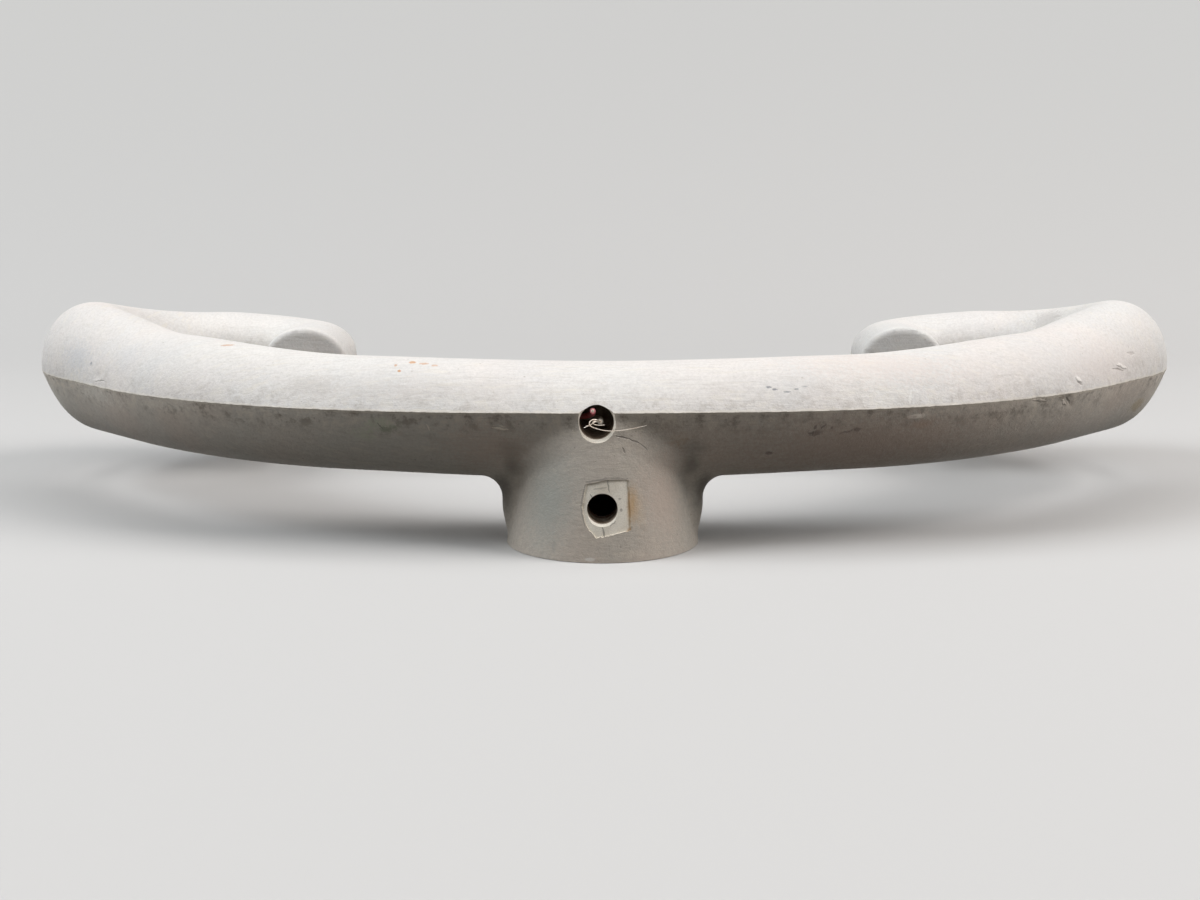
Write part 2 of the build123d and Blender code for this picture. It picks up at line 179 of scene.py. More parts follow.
@dataclass
class HornPlan:
    """Plan and section law of a horn, the same as the solids'."""

    centre_run: float = 29.0
    shoulder_radius: float = 110.0
    shoulder_turn: float = 47.0
    side_run: float = 26.0
    loop_radius: float = 31.6
    loop_turn: float = 131.0
    arm_run: float = 7.0
    tip_radius: float = 17.0
    tip_run: float = 17.0
    whole_turn: float = 270.0
    half_width: float = BAR_HALF_WIDTH
    grip_rise: float = 17.2
    bar_drop: float = 17.0
    beyond_tip: float = 3.0
    runs: list[Run] = field(default_factory=list)

    def __post_init__(self) -> None:
        """Lays the runs end to end."""
        tip_turn = self.whole_turn - self.shoulder_turn - self.loop_turn
        steps = (
            (self.centre_run, 0.0),
            (self.shoulder_turn, self.shoulder_radius),
            (self.side_run, 0.0),
            (self.loop_turn, self.loop_radius),
            (self.arm_run, 0.0),
            (tip_turn, self.tip_radius),
            (self.tip_run, 0.0),
        )
        x, y, heading = 0.0, 0.0, math.pi
        for size, radius in steps:
            length = math.radians(size) * radius if radius else size
            self.runs.append(Run(x, y, heading, length, radius))
            x, y, heading = self.runs[-1].end()
        self.length = sum(run.length for run in self.runs)
        self.tip_x, self.tip_y = x, y

    def locate(self, x: np.ndarray, y: np.ndarray) -> tuple[np.ndarray, np.ndarray]:
        """Places of plan points along the nearer horn and beside its middle line.

        Args:
            x: X of the points.
            y: Y of the points.

        Returns:
            Along and aside, for each point.
        """
        left = -np.abs(x)
        along = np.zeros(np.broadcast_shapes(np.shape(x), np.shape(y)))
        aside = along.copy()
        nearest = along + np.inf
        before = 0.0
        for number, run in enumerate(self.runs):
            ahead, beside = run.measure(left, y)
            last = number == len(self.runs) - 1
            foot = np.clip(ahead, 0, run.length + (self.beyond_tip if last else 0))
            off = np.hypot(ahead - foot, beside)
            closer = off < nearest
            nearest = np.where(closer, off, nearest)
            along = np.where(closer, foot + before, along)
            aside = np.where(closer, beside, aside)
            before += run.length
        return along, aside

    def sizes(self, along: np.ndarray) -> tuple[np.ndarray, ...]:
        """Half width, rise and drop of the section at places along a horn, and its grip share.

        Args:
            along: Distances from the hub's axis.

        Returns:
            The three sizes and the share at each place.
        """
        table = np.array(STATION_SHARES)
        share = np.clip(along / self.length, 0, 1)
        low = np.clip(np.searchsorted(table[:, 0], share, side="right") - 1, 0, len(table) - 2)
        step = (share - table[low, 0]) / (table[low + 1, 0] - table[low, 0])
        ease = smooth_share(step)[..., None]
        mixed = table[low, 1:] * (1 - ease) + table[low + 1, 1:] * ease
        width, rise, drop, grip = np.moveaxis(mixed, -1, 0)
        return width * self.half_width, rise * self.grip_rise, drop * self.bar_drop, grip


@dataclass(frozen=True)
class Dent:
    """A dent, or a raised flaw where the depth is below zero, as a soft hollow."""

    place: Place
    reach: Place
    depth: float


FRONT_DENTS = (
    Dent((-121.9, 27.3, 33.6), (1.9, 1.3, 0.7), 0.45),
    Dent((-120.2, 25.6, 34.6), (0.9, 0.9, 0.6), 0.30),
    Dent((110.8, 16.3, 33.6), (1.0, 0.8, 0.6), -0.30),
    Dent((108.9, 15.0, 34.1), (1.2, 1.0, 0.5), 0.25),
    Dent((106.2, 13.8, 36.3), (2.6, 1.6, 0.4), 0.16),
    Dent((124.8, 31.2, 35.4), (1.4, 1.4, 0.5), -0.22),
    Dent((123.2, 29.2, 34.8), (1.6, 1.5, 0.5), 0.22),
    Dent((97.4, 7.0, 31.3), (1.6, 1.2, 0.8), 0.35),
    Dent((104.0, 12.0, 31.2), (0.9, 0.9, 0.6), 0.25),
)
REAR_DENTS = (
    Dent((97.8, 7.0, 30.7), (1.5, 1.2, 0.7), 0.35),
    Dent((106.6, 14.0, 29.9), (1.1, 1.1, 1.9), 0.45),
    Dent((108.3, 15.7, 28.4), (0.8, 0.8, 1.0), 0.30),
    Dent((68.4, -6.5, 28.9), (2.2, 1.0, 0.5), -0.18),
    Dent((-120.9, 26.4, 30.8), (1.2, 1.2, 0.6), 0.22),
    Dent((4.2, -16.6, 22.5), (0.7, 0.9, 0.6), 0.20),
    Dent((-86.0, 4.6, 30.7), (2.4, 1.2, 0.5), 0.15),
    Dent((2.2, -16.0, 25.9), (1.6, 0.9, 0.6), 0.12),
)


@dataclass
class MouldingForm:
    """Field of one half moulding: below zero inside, about millimetres outside."""

    plan: HornPlan
    half: Half
    dents: tuple[Dent, ...]
    tip_edge: float = 1.2
    ragged_depth: float = 0.085
    ragged_reach: float = 0.6
    ragged_pitch: float = 0.45
    ragged_count: int = 900
    web_foot: float = 21.0
    web_width: float = 22.3
    web_flare: float = 9.0
    web_thickness: float = 11.0
    web_edge: float = 3.0
    web_fillet: float = 4.5
    hub_fillet: float = 3.2
    hub_crease: float = 0.5
    blend_foot: float = 12.0
    blend_height: float = 9.0
    blend_gap: float = 1.0
    step: float = 0.8
    seed: int = 7
    grid_x: tuple[float, float] = (-152.0, 152.0)
    grid_y: tuple[float, float] = (-26.0, 124.0)
    outline_samples: int = 400
    seat_step: float = 0.05

    def __post_init__(self) -> None:
        """Samples the sections' outlines and the ragged edge."""
        u = np.linspace(0, 1, self.outline_samples)
        v = 1 - u
        self.outlines = []
        for (side, side_up), (top, top_up) in self.half.value:
            out = v**3 + 3 * v * v * u * side + 3 * v * u * u * top
            up = 3 * v * v * u * side_up + 3 * v * u * u * top_up + u**3
            self.outlines.append((np.arctan2(up, out), np.hypot(up, out)))
        draws = np.random.default_rng(self.seed).normal(size=(4, self.ragged_count))
        kernel = np.array([0.25, 0.5, 0.25])
        self.ragged = [np.convolve(row, kernel, "same") for row in draws]

    def tube(self, along: np.ndarray, aside: np.ndarray, z: np.ndarray) -> np.ndarray:
        """Field of the bare horn's section.

        Args:
            along: Places along the horn.
            aside: Distances from its middle line.
            z: Heights.

        Returns:
            The field.
        """
        width, rise, drop, grip = self.plan.sizes(along)
        height = rise if self.half is Half.FRONT else drop
        up = (z - PART_Z) * (1 if self.half is Half.FRONT else -1)
        share_out, share_up = np.abs(aside) / width, np.maximum(up, 0) / height
        shares = np.maximum(np.hypot(share_out, share_up), 1e-6)
        angle = np.arctan2(share_up, share_out)
        bar_reach, grip_reach = (np.interp(angle, *outline) for outline in self.outlines)
        reach = bar_reach + (grip_reach - bar_reach) * grip
        distance = np.hypot(aside, np.maximum(up, 0))
        return distance * (1 - reach / shares)

    def hub(self, bar: np.ndarray, x: np.ndarray, y: np.ndarray, z: np.ndarray) -> np.ndarray:
        """The rear half's field with its hub and webs joined on.

        Args:
            bar: Field of the horns.
            x: X of the points.
            y: Y of the points.
            z: Heights.

        Returns:
            The joined field.
        """
        slope = (HUB_BASE_RADIUS - HUB_TOP_RADIUS) / PART_Z
        cone = (np.hypot(x, y) - HUB_BASE_RADIUS + slope * z) * math.cos(math.atan(slope))
        flare = smooth_share(z / self.web_flare) * (self.web_width - self.web_foot)
        web_x = np.abs(x) - self.web_foot - flare
        web_y = np.abs(y) - self.web_thickness / 2
        web = cut_round(web_x, web_y, self.web_edge)
        joined = join_round(bar, web, self.web_fillet)
        low_share = smooth_share((z - self.blend_foot) / self.blend_height)
        high_share = smooth_share((PART_Z - self.blend_gap - z) / self.blend_height)
        fillet = self.hub_crease + self.hub_fillet * high_share * low_share
        return join_round(joined, cone, fillet)

    def value(self, x: np.ndarray, y: np.ndarray, z: np.ndarray) -> np.ndarray:
        """Field at points or over a grid.

        Args:
            x: X of the points.
            y: Y of the points.
            z: Heights.

        Returns:
            The field.
        """
        along, aside = self.plan.locate(x, y)
        result = self.tube(along, aside, z)
        result = cut_round(result, along - self.plan.length, self.tip_edge)
        if self.half is Half.REAR:
            result = self.hub(result, x, y, z)
        knots = np.arange(self.ragged_count) * self.ragged_pitch
        waves = [np.interp(along, knots, row) for row in self.ragged]
        outer, inner = (np.where(x < 0, waves[i], waves[i + 1]) for i in (0, 2))
        wave = np.where(aside > 0, outer, inner) * self.ragged_depth
        result = result + wave * np.exp(-np.abs(z - PART_Z) / self.ragged_reach)
        for dent in self.dents:
            off = sum(((p - c) / r) ** 2 for p, c, r in zip((x, y, z), dent.place, dent.reach))
            result = result + dent.depth * np.exp(-off)
        return result

    def near_side(self, x: float, z: float) -> float:
        """Y of the skin where it is first met from the side of least Y.

        Args:
            x: X of the place.
            z: Its height.

        Returns:
            Y of the first sample inside.
        """
        y = np.arange(*self.grid_y, self.seat_step)
        inside = self.value(np.full_like(y, x), y, np.full_like(y, z)) < 0
        return float(y[np.argmax(inside)])

    def grid(self) -> tuple[np.ndarray, np.ndarray, np.ndarray]:
        """Sample places along each axis, half a step off both flat faces.

        Returns:
            The places along X, Y and Z.
        """
        x = np.arange(self.grid_x[0], self.grid_x[1] + self.step, self.step)
        y = np.arange(*self.grid_y, self.step)
        if self.half is Half.FRONT:
            layers = math.ceil(self.plan.grip_rise / self.step)
            z = PART_Z + self.step * (np.arange(layers + 4) - 0.5)
        else:
            layers = round(PART_Z / self.step)
            z = PART_Z / layers * (np.arange(layers + 2) - 0.5)
        return x, y, z


def surface_nets(values: np.ndarray) -> tuple[np.ndarray, np.ndarray, np.ndarray]:
    """Quads round the inside of a sampled field.

    Args:
        values: Field at the grid's points, below zero inside.

    Returns:
        Vertices in grid steps, the cell of each, and the quads.
    """
    inside = values < 0
    shape = np.array(inside.shape)
    count = np.zeros(shape - 1, np.int8)
    for corner in product((0, 1), repeat=3):
        part = tuple(slice(c, n - 1 + c) for c, n in zip(corner, shape))
        count += inside[part]
    active = (count > 0) & (count < 8)
    index = np.full(active.shape, -1, np.int64)
    index[active] = np.arange(np.count_nonzero(active))
    cells = np.argwhere(active)
    total = np.zeros(cells.shape)
    hits = np.zeros(len(cells))
    for axis in range(3):
        others = [a for a in range(3) if a != axis]
        for first, second in product((0, 1), repeat=2):
            low = cells.copy()
            low[:, others[0]] += first
            low[:, others[1]] += second
            high = low.copy()
            high[:, axis] += 1
            a, b = values[tuple(low.T)], values[tuple(high.T)]
            crossed = (a < 0) != (b < 0)
            share = np.where(crossed, a / np.where(crossed, a - b, 1), 0)
            point = low.astype(float)
            point[:, axis] += share
            total += point * crossed[:, None]
            hits += crossed
    quads = []
    for axis in range(3):
        ahead = np.zeros(3, int)
        ahead[axis] = 1
        side, up = np.roll(ahead, 1), np.roll(ahead, 2)
        low = tuple(slice(0, n - 1) if a == axis else slice(1, n - 1) for a, n in enumerate(shape))
        high = tuple(slice(1, n) if a == axis else slice(1, n - 1) for a, n in enumerate(shape))
        edges = np.argwhere(inside[low] != inside[high]) + (1 - ahead)
        around = [edges, edges - side, edges - side - up, edges - up]
        quad = np.stack([index[tuple(cell.T)] for cell in around], 1)
        outwards = inside[tuple(edges.T)]
        quads.append(np.where(outwards[:, None], quad, quad[:, ::-1]))
    return total / hits[:, None], cells, np.concatenate(quads)


def settle(form: MouldingForm, points: np.ndarray, flat: np.ndarray, held: np.ndarray) -> np.ndarray:
    """Moves vertices onto the surface of a form.

    Args:
        form: The form.
        points: The vertices.
        flat: True for those that keep their height.
        held: True for those that stay.

    Returns:
        The moved vertices.
    """
    nudge = 0.02
    moving = ~held
    for _ in range(5):
        here = points[moving]
        value = form.value(*here.T)
        slope = np.zeros(here.shape)
        for axis in range(3):
            for sign in (-1, 1):
                probe = here.copy()
                probe[:, axis] += sign * nudge
                slope[:, axis] += sign * form.value(*probe.T) / (2 * nudge)
        slope[flat[moving], 2] = 0
        length = np.maximum((slope**2).sum(1), 0.05)
        move = np.clip(value / length, -form.step, form.step)
        points[moving] = here - slope * move[:, None]
    return points


# Meshes


def mesh_object(name: str, points: np.ndarray, faces: list, scale: float = MM) -> Piece:
    """A linked object made from points and faces.

    Args:
        name: Name of the piece.
        points: Vertices.
        faces: Vertex numbers of each face.
        scale: From the points' unit to metres.

    Returns:
        The object, smooth shaded.
    """
    mesh = bpy.data.meshes.new(name)
    mesh.from_pydata([tuple(p * scale) for p in np.asarray(points, float)], [], faces)
    mesh.validate()
    mesh.polygons.foreach_set("use_smooth", [True] * len(mesh.polygons))
    made = bpy.data.objects.new(name, mesh)
    bpy.context.scene.collection.objects.link(made)
    return made


def turned(
    name: str,
    profile: list[tuple[float, float]],
    centre: tuple[float, float, float],
    axis: str = "Y",
    sides: int = 96,
) -> Piece:
    """A closed body turned round an axis.

    Args:
        name: Name of the piece.
        profile: Radius and place along the axis, from one end on the axis to the other.
        centre: Where place zero is.
        axis: Y or Z.
        sides: Segments round the axis.

    Returns:
        The turned object.
    """
    points: list[tuple[float, float, float]] = []
    rings: list[list[int]] = []
    for radius, place in profile:
        count = sides if radius > 0 else 1
        ring = []
        for i in range(count):
            angle = 2 * math.pi * i / sides
            across, beside = radius * math.cos(angle), radius * math.sin(angle)
            offset = (across, place, beside) if axis == "Y" else (across, beside, place)
            ring.append(len(points))
            points.append(tuple(c + o for c, o in zip(centre, offset)))
        rings.append(ring)
    closed = len(rings[0]) > 1
    pairs = list(zip(rings, rings[1:])) + ([(rings[-1], rings[0])] if closed else [])
    faces = []
    for near, far in pairs:
        for i in range(sides):
            j = (i + 1) % sides
            if len(near) == 1:
                faces.append((near[0], far[i], far[j]))
            elif len(far) == 1:
                faces.append((near[i], far[0], near[j]))
            else:
                faces.append((near[i], far[i], far[j], near[j]))
    made = mesh_object(name, np.array(points), faces)
    face_out(made)
    return made


def face_out(piece: Piece) -> None:
    """Turns every face of a closed piece outwards.

    Args:
        piece: The piece.
    """
    work = bmesh.new()
    work.from_mesh(piece.data)
    bmesh.ops.remove_doubles(work, verts=work.verts, dist=1e-7)
    bmesh.ops.recalc_face_normals(work, faces=work.faces)
    work.to_mesh(piece.data)
    work.free()


def baked(piece: Piece) -> Piece:
    """Applies a piece's modifiers by taking its evaluated mesh.

    Args:
        piece: The piece.

    Returns:
        The same piece, with a plain mesh.
    """
    graph = bpy.context.evaluated_depsgraph_get()
    mesh = bpy.data.meshes.new_from_object(piece.evaluated_get(graph))
    piece.modifiers.clear()
    piece.data = mesh
    return piece


def cut(piece: Piece, tool: Piece) -> None:
    """Cuts a tool's body out of a piece and deletes the tool.

    Args:
        piece: The piece.
        tool: A closed body.
    """
    change = piece.modifiers.new("cut", "BOOLEAN")
    change.operation = "DIFFERENCE"
    change.solver = "EXACT"
    change.object = tool
    baked(piece)
    bpy.data.objects.remove(tool)


def joined(name: str, parts: list[Piece]) -> Piece:
    """Several objects as one mesh, with their materials kept.

    Args:
        name: Name of the new piece.
        parts: Objects to join; they are deleted.

    Returns:
        The joined object.
    """
    materials: list[bpy.types.Material] = []
    work = bmesh.new()
    for part in parts:
        first = len(work.faces)
        places = []
        for material in part.data.materials:
            if material not in materials:
                materials.append(material)
            places.append(materials.index(material))
        work.from_mesh(part.data)
        work.faces.ensure_lookup_table()
        for face in work.faces[first:]:
            face.material_index = places[face.material_index] if places else 0
    mesh = bpy.data.meshes.new(name)
    work.to_mesh(mesh)
    work.free()
    for material in materials:
        mesh.materials.append(material)
    for part in parts:
        bpy.data.objects.remove(part)
    made = bpy.data.objects.new(name, mesh)
    bpy.context.scene.collection.objects.link(made)
    return made


def dressed(piece: Piece, slot: Slot, body: str, *nodes: str) -> Piece:
    """Gives a finished piece its body and hides the nodes that it stands for.

    Args:
        piece: The piece.
        slot: Its material slot; not used.
        body: The body that it rides on.
        nodes: CAD nodes that it replaces.

    Returns:
        The piece.
    """
    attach(piece, body)
    if nodes:
        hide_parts(*nodes)
    LOG.info("%s: %d faces, rides on %s", piece.name, len(piece.data.polygons), body)
    return piece


# Shader building


class Shade:
    """Adds and links the nodes of one shader tree."""

    def __init__(self, tree: bpy.types.NodeTree) -> None:
        """Keeps the tree to build in."""
        self.tree = tree

    def add(self, kind: str, inputs: dict | None = None, **settings: object) -> bpy.types.Node:
        """Adds a node.

        Args:
            kind: Its type, without the leading ShaderNode.
            inputs: Values or sockets by input name or number.
            settings: Its own settings.

        Returns:
            The node.
        """
        node = self.tree.nodes.new("ShaderNode" + kind)
        for key, value in settings.items():
            setattr(node, key, value)
        for key, value in (inputs or {}).items():
            self.feed(node.inputs[key], value)
        return node

    def feed(self, socket: Socket, value: object) -> None:
        """Links a socket to another, or sets its value.

        Args:
            socket: The input.
            value: The output to link from, or a value.
        """
        if isinstance(value, Socket):
            self.tree.links.new(value, socket)
        elif isinstance(value, (tuple, list)) and len(value) == 3 and socket.type == "RGBA":
            socket.default_value = (*value, 1)
        else:
            socket.default_value = value

    def math(self, kind: str, a: object, b: object = 0.0, clamp: bool = False) -> Socket:
        """Result of a math node."""
        return self.add("Math", {0: a, 1: b}, operation=kind, use_clamp=clamp).outputs[0]

    def vector(self, kind: str, a: object, b: object = (0, 0, 0)) -> Socket:
        """Vector or number that a vector math node gives."""
        node = self.add("VectorMath", {0: a, 1: b}, operation=kind)
        return node.outputs[1 if kind in ("LENGTH", "DOT_PRODUCT") else 0]

    def scaled(self, place: object, factor: object) -> Socket:
        """Vector times a number.

        Args:
            place: The vector.
            factor: The number.

        Returns:
            The product.
        """
        node = self.add("VectorMath", {0: place}, operation="SCALE")
        self.feed(node.inputs["Scale"], factor)
        return node.outputs[0]

    def height(self, place: object) -> Socket:
        """Z of a place."""
        return self.add("SeparateXYZ", {0: place}).outputs["Z"]

    def seen(self) -> Socket:
        """Tells rays that the camera sees, also in a reflection or through glass.

        Returns:
            1 for such a ray, else 0.
        """
        ray = self.add("LightPath")
        direct = self.math("MAXIMUM", ray.outputs["Is Camera Ray"], ray.outputs["Is Glossy Ray"])
        return self.math("MAXIMUM", direct, ray.outputs["Is Transmission Ray"])

    def mix(self, factor: object, a: object, b: object, kind: str = "MIX") -> Socket:
        """Colour between two.

        Args:
            factor: Share of the second.
            a: First colour.
            b: Second colour.
            kind: How they blend.

        Returns:
            The blended colour.
        """
        node = self.add("Mix", data_type="RGBA", blend_type=kind)
        self.feed(node.inputs[0], factor)
        self.feed(node.inputs[6], a)
        self.feed(node.inputs[7], b)
        return node.outputs[2]

    def span(self, value: object, low: float, high: float, to_low: float = 0, to_high: float = 1) -> Socket:
        """Number eased from one range to another, and held at its ends.

        Args:
            value: The number.
            low: Start of its range, which may be the greater end.
            high: End of its range.
            to_low: Result at the start.
            to_high: Result at the end.

        Returns:
            The eased number.
        """
        names = ("Value", "From Min", "From Max", "To Min", "To Max")
        inputs = dict(zip(names, (value, low, high, to_low, to_high)))
        return self.add("MapRange", inputs, interpolation_type="SMOOTHSTEP").outputs[0]

    def noise(self, place: object, scale: float, detail: float = 3, rough: float = 0.5) -> Socket:
        """Noise value at a place."""
        inputs = {"Vector": place, "Scale": scale, "Detail": detail, "Roughness": rough}
        return self.add("TexNoise", inputs).outputs[0]

    def cells(self, place: object, scale: float) -> Socket:
        """Distance from the nearest of many scattered points."""
        inputs = {"Vector": place, "Scale": scale, "Randomness": 1.0}
        return self.add("TexVoronoi", inputs).outputs["Distance"]

    def stretched(self, place: object, scale: tuple[float, float, float]) -> Socket:
        """Place with each axis scaled."""
        return self.vector("MULTIPLY", place, scale)

    def bump(self, height: object, strength: float, distance: float, normal: object = None) -> Socket:
        """Normal bent by a height.

        Args:
            height: The height.
            strength: Of the bend.
            distance: Millimetres for a height of 1.
            normal: Normal to start from.

        Returns:
            The bent normal.
        """
        inputs = {"Height": height, "Strength": strength, "Distance": distance * MM}
        if normal is not None:
            inputs["Normal"] = normal
        return self.add("Bump", inputs).outputs[0]


GroupParts = tuple[bpy.types.NodeTree, Shade, bpy.types.Node, bpy.types.Node]


def new_group(name: str, inputs: dict[str, str], outputs: dict[str, str]) -> GroupParts:
    """Starts a shader node group.

    Args:
        name: Its name.
        inputs: Socket types by name.
        outputs: Socket types by name.

    Returns:
        The group, its builder, and its input and output nodes.
    """
    tree = bpy.data.node_groups.new(name, "ShaderNodeTree")
    for way, sockets in (("INPUT", inputs), ("OUTPUT", outputs)):
        for key, kind in sockets.items():
            tree.interface.new_socket(key, in_out=way, socket_type="NodeSocket" + kind)
    source, sink = tree.nodes.new("NodeGroupInput"), tree.nodes.new("NodeGroupOutput")
    return tree, Shade(tree), source, sink


STREAK_SHARES = (1.0, 0.25, 1.0)


class Effects:
    """Shared effects, each a node group built once."""

    def __init__(self) -> None:
        """Builds every group."""
        self.spot = self.build_spot()
        self.streak = self.build_streak()
        self.grain = self.build_grain()
        self.patina = self.build_patina()

    def build_spot(self) -> bpy.types.NodeTree:
        """Mask of a soft, uneven spot round a place, in millimetres.

        Returns:
            The group.
        """
        wants = dict.fromkeys(("Place", "Centre", "Reach"), "Vector")
        wants |= {"Unevenness": "Float", "Core": "Float"}
        tree, shade, source, sink = new_group("spot", wants, {"Mask": "Float"})
        off = shade.vector("SUBTRACT", source.outputs["Place"], source.outputs["Centre"])
        off = shade.vector("LENGTH", shade.vector("DIVIDE", off, source.outputs["Reach"]))
        wave = shade.noise(source.outputs["Place"], 1.3, 4, 0.65)
        wave = shade.math("MULTIPLY", shade.math("SUBTRACT", wave, 0.5), source.outputs["Unevenness"])
        mask = shade.span(shade.math("ADD", off, wave), 1.0, source.outputs["Core"])
        shade.feed(sink.inputs[0], mask)
        return tree

    def build_streak(self) -> bpy.types.NodeTree:
        """Mask of a fine wavering line between two places, in millimetres.

        Returns:
            The group.
        """
        wants = dict.fromkeys(("Place", "Start", "End"), "Vector") | {"Width": "Float", "Waver": "Float"}
        tree, shade, source, sink = new_group("streak", wants, {"Mask": "Float"})
        wave = shade.add("TexNoise", {"Vector": source.outputs["Place"], "Scale": 0.8, "Detail": 2.0})
        shift = shade.vector("SUBTRACT", wave.outputs["Color"], (0.5, 0.5, 0.5))
        place = shade.vector("ADD", source.outputs["Place"], shade.scaled(shift, source.outputs["Waver"]))
        start = source.outputs["Start"]
        run = shade.stretched(shade.vector("SUBTRACT", source.outputs["End"], start), STREAK_SHARES)
        off = shade.stretched(shade.vector("SUBTRACT", place, start), STREAK_SHARES)
        ahead, whole = shade.vector("DOT_PRODUCT", off, run), shade.vector("DOT_PRODUCT", run, run)
        share = shade.math("DIVIDE", ahead, whole, True)
        distance = shade.vector("LENGTH", shade.vector("SUBTRACT", off, shade.scaled(run, share)))
        middle_off = shade.math("ABSOLUTE", shade.math("SUBTRACT", shade.math("MULTIPLY", share, 2.0), 1.0))
        taper = shade.math("POWER", shade.math("SUBTRACT", 1.15, middle_off), 0.5)
        width = shade.math("MULTIPLY", source.outputs["Width"], taper)
        shade.feed(sink.inputs[0], shade.span(shade.math("DIVIDE", distance, width), 1.0, 0.3))
        return tree

    def build_grain(self) -> bpy.types.NodeTree:
        """Height and mask of a worn moulded surface: grain, pores and sanding strokes.

        Returns:
            The group.
        """
        wants = {"Place": "Vector", "Grain": "Float", "Strokes": "Float"}
        tree, shade, source, sink = new_group("grain", wants, {"Height": "Float", "Pores": "Float"})
        place = source.outputs["Place"]
        fine = shade.noise(place, 2.6, 5, 0.62)
        lumps = shade.noise(place, 0.42, 3, 0.5)
        strokes = shade.noise(shade.stretched(place, (0.12, 1.4, 1.4)), 1.1, 4, 0.7)
        pores = shade.span(shade.cells(place, 0.85), 0.13, 0.04)
        fine = shade.math("MULTIPLY", fine, source.outputs["Grain"])
        height = shade.math("ADD", fine, shade.math("MULTIPLY", lumps, 1.3))
        height = shade.math("ADD", height, shade.math("MULTIPLY", strokes, source.outputs["Strokes"]))
        height = shade.math("SUBTRACT", height, shade.math("MULTIPLY", pores, 0.5))
        shade.feed(sink.inputs["Height"], height)
        shade.feed(sink.inputs["Pores"], pores)
        return tree

    def build_patina(self) -> bpy.types.NodeTree:
        """Masks of broad blotches and of small stains, in millimetres.

        Returns:
            The group.
        """
        wants = {"Place": "Vector", "Broad": "Float", "Small": "Float"}
        tree, shade, source, sink = new_group("patina", wants, {"Blotches": "Float", "Stains": "Float"})
        place = source.outputs["Place"]
        broad = shade.add("TexNoise", {"Vector": place, "Detail": 4.0, "Roughness": 0.6})
        shade.feed(broad.inputs["Scale"], source.outputs["Broad"])
        small = shade.add("TexNoise", {"Vector": place, "Detail": 5.0, "Roughness": 0.7})
        shade.feed(small.inputs["Scale"], source.outputs["Small"])
        shade.feed(sink.inputs["Blotches"], shade.span(broad.outputs[0], 0.38, 0.66))
        shade.feed(sink.inputs["Stains"], shade.span(small.outputs[0], 0.56, 0.74))
        return tree


@dataclass(frozen=True)
class Mark:
    """One stain, scuff or scratch, or a patch of painted light or shade. A place of X and height alone is
    seated on the skin.
    """

    colour: Colour
    strength: float
    start: tuple[float, ...]
    reach: Place = (1.0, 1.0, 1.0)
    end: tuple[float, ...] | None = None
    width: float = 0.2
    uneven: float = 1.0
    core: float = 0.55
    depth: float = 0.0

    def seated(self, form: MouldingForm, below: float = 0.0) -> "Mark":
        """The same mark with whole places.

        Args:
            form: Form of the moulding that it is on.
            below: How far the marked skin lies below the form's.

        Returns:
            The seated mark.
        """
        places = {"start": self.start, "end": self.end}
        for key, place in places.items():
            if place is not None and len(place) == 2:
                places[key] = (place[0], form.near_side(*place) + below, place[1])
        return replace(self, **places)


DARK = (0.10, 0.095, 0.09)
CREAM = (0.86, 0.80, 0.68)
RUST = (0.62, 0.30, 0.10)
SLATE = (0.20, 0.21, 0.24)
# Painted shade: dark colour for the webs beside the hub, which lie in the horn's shadow
WEB_PAINTED_SHADE = (0.16, 0.145, 0.125)

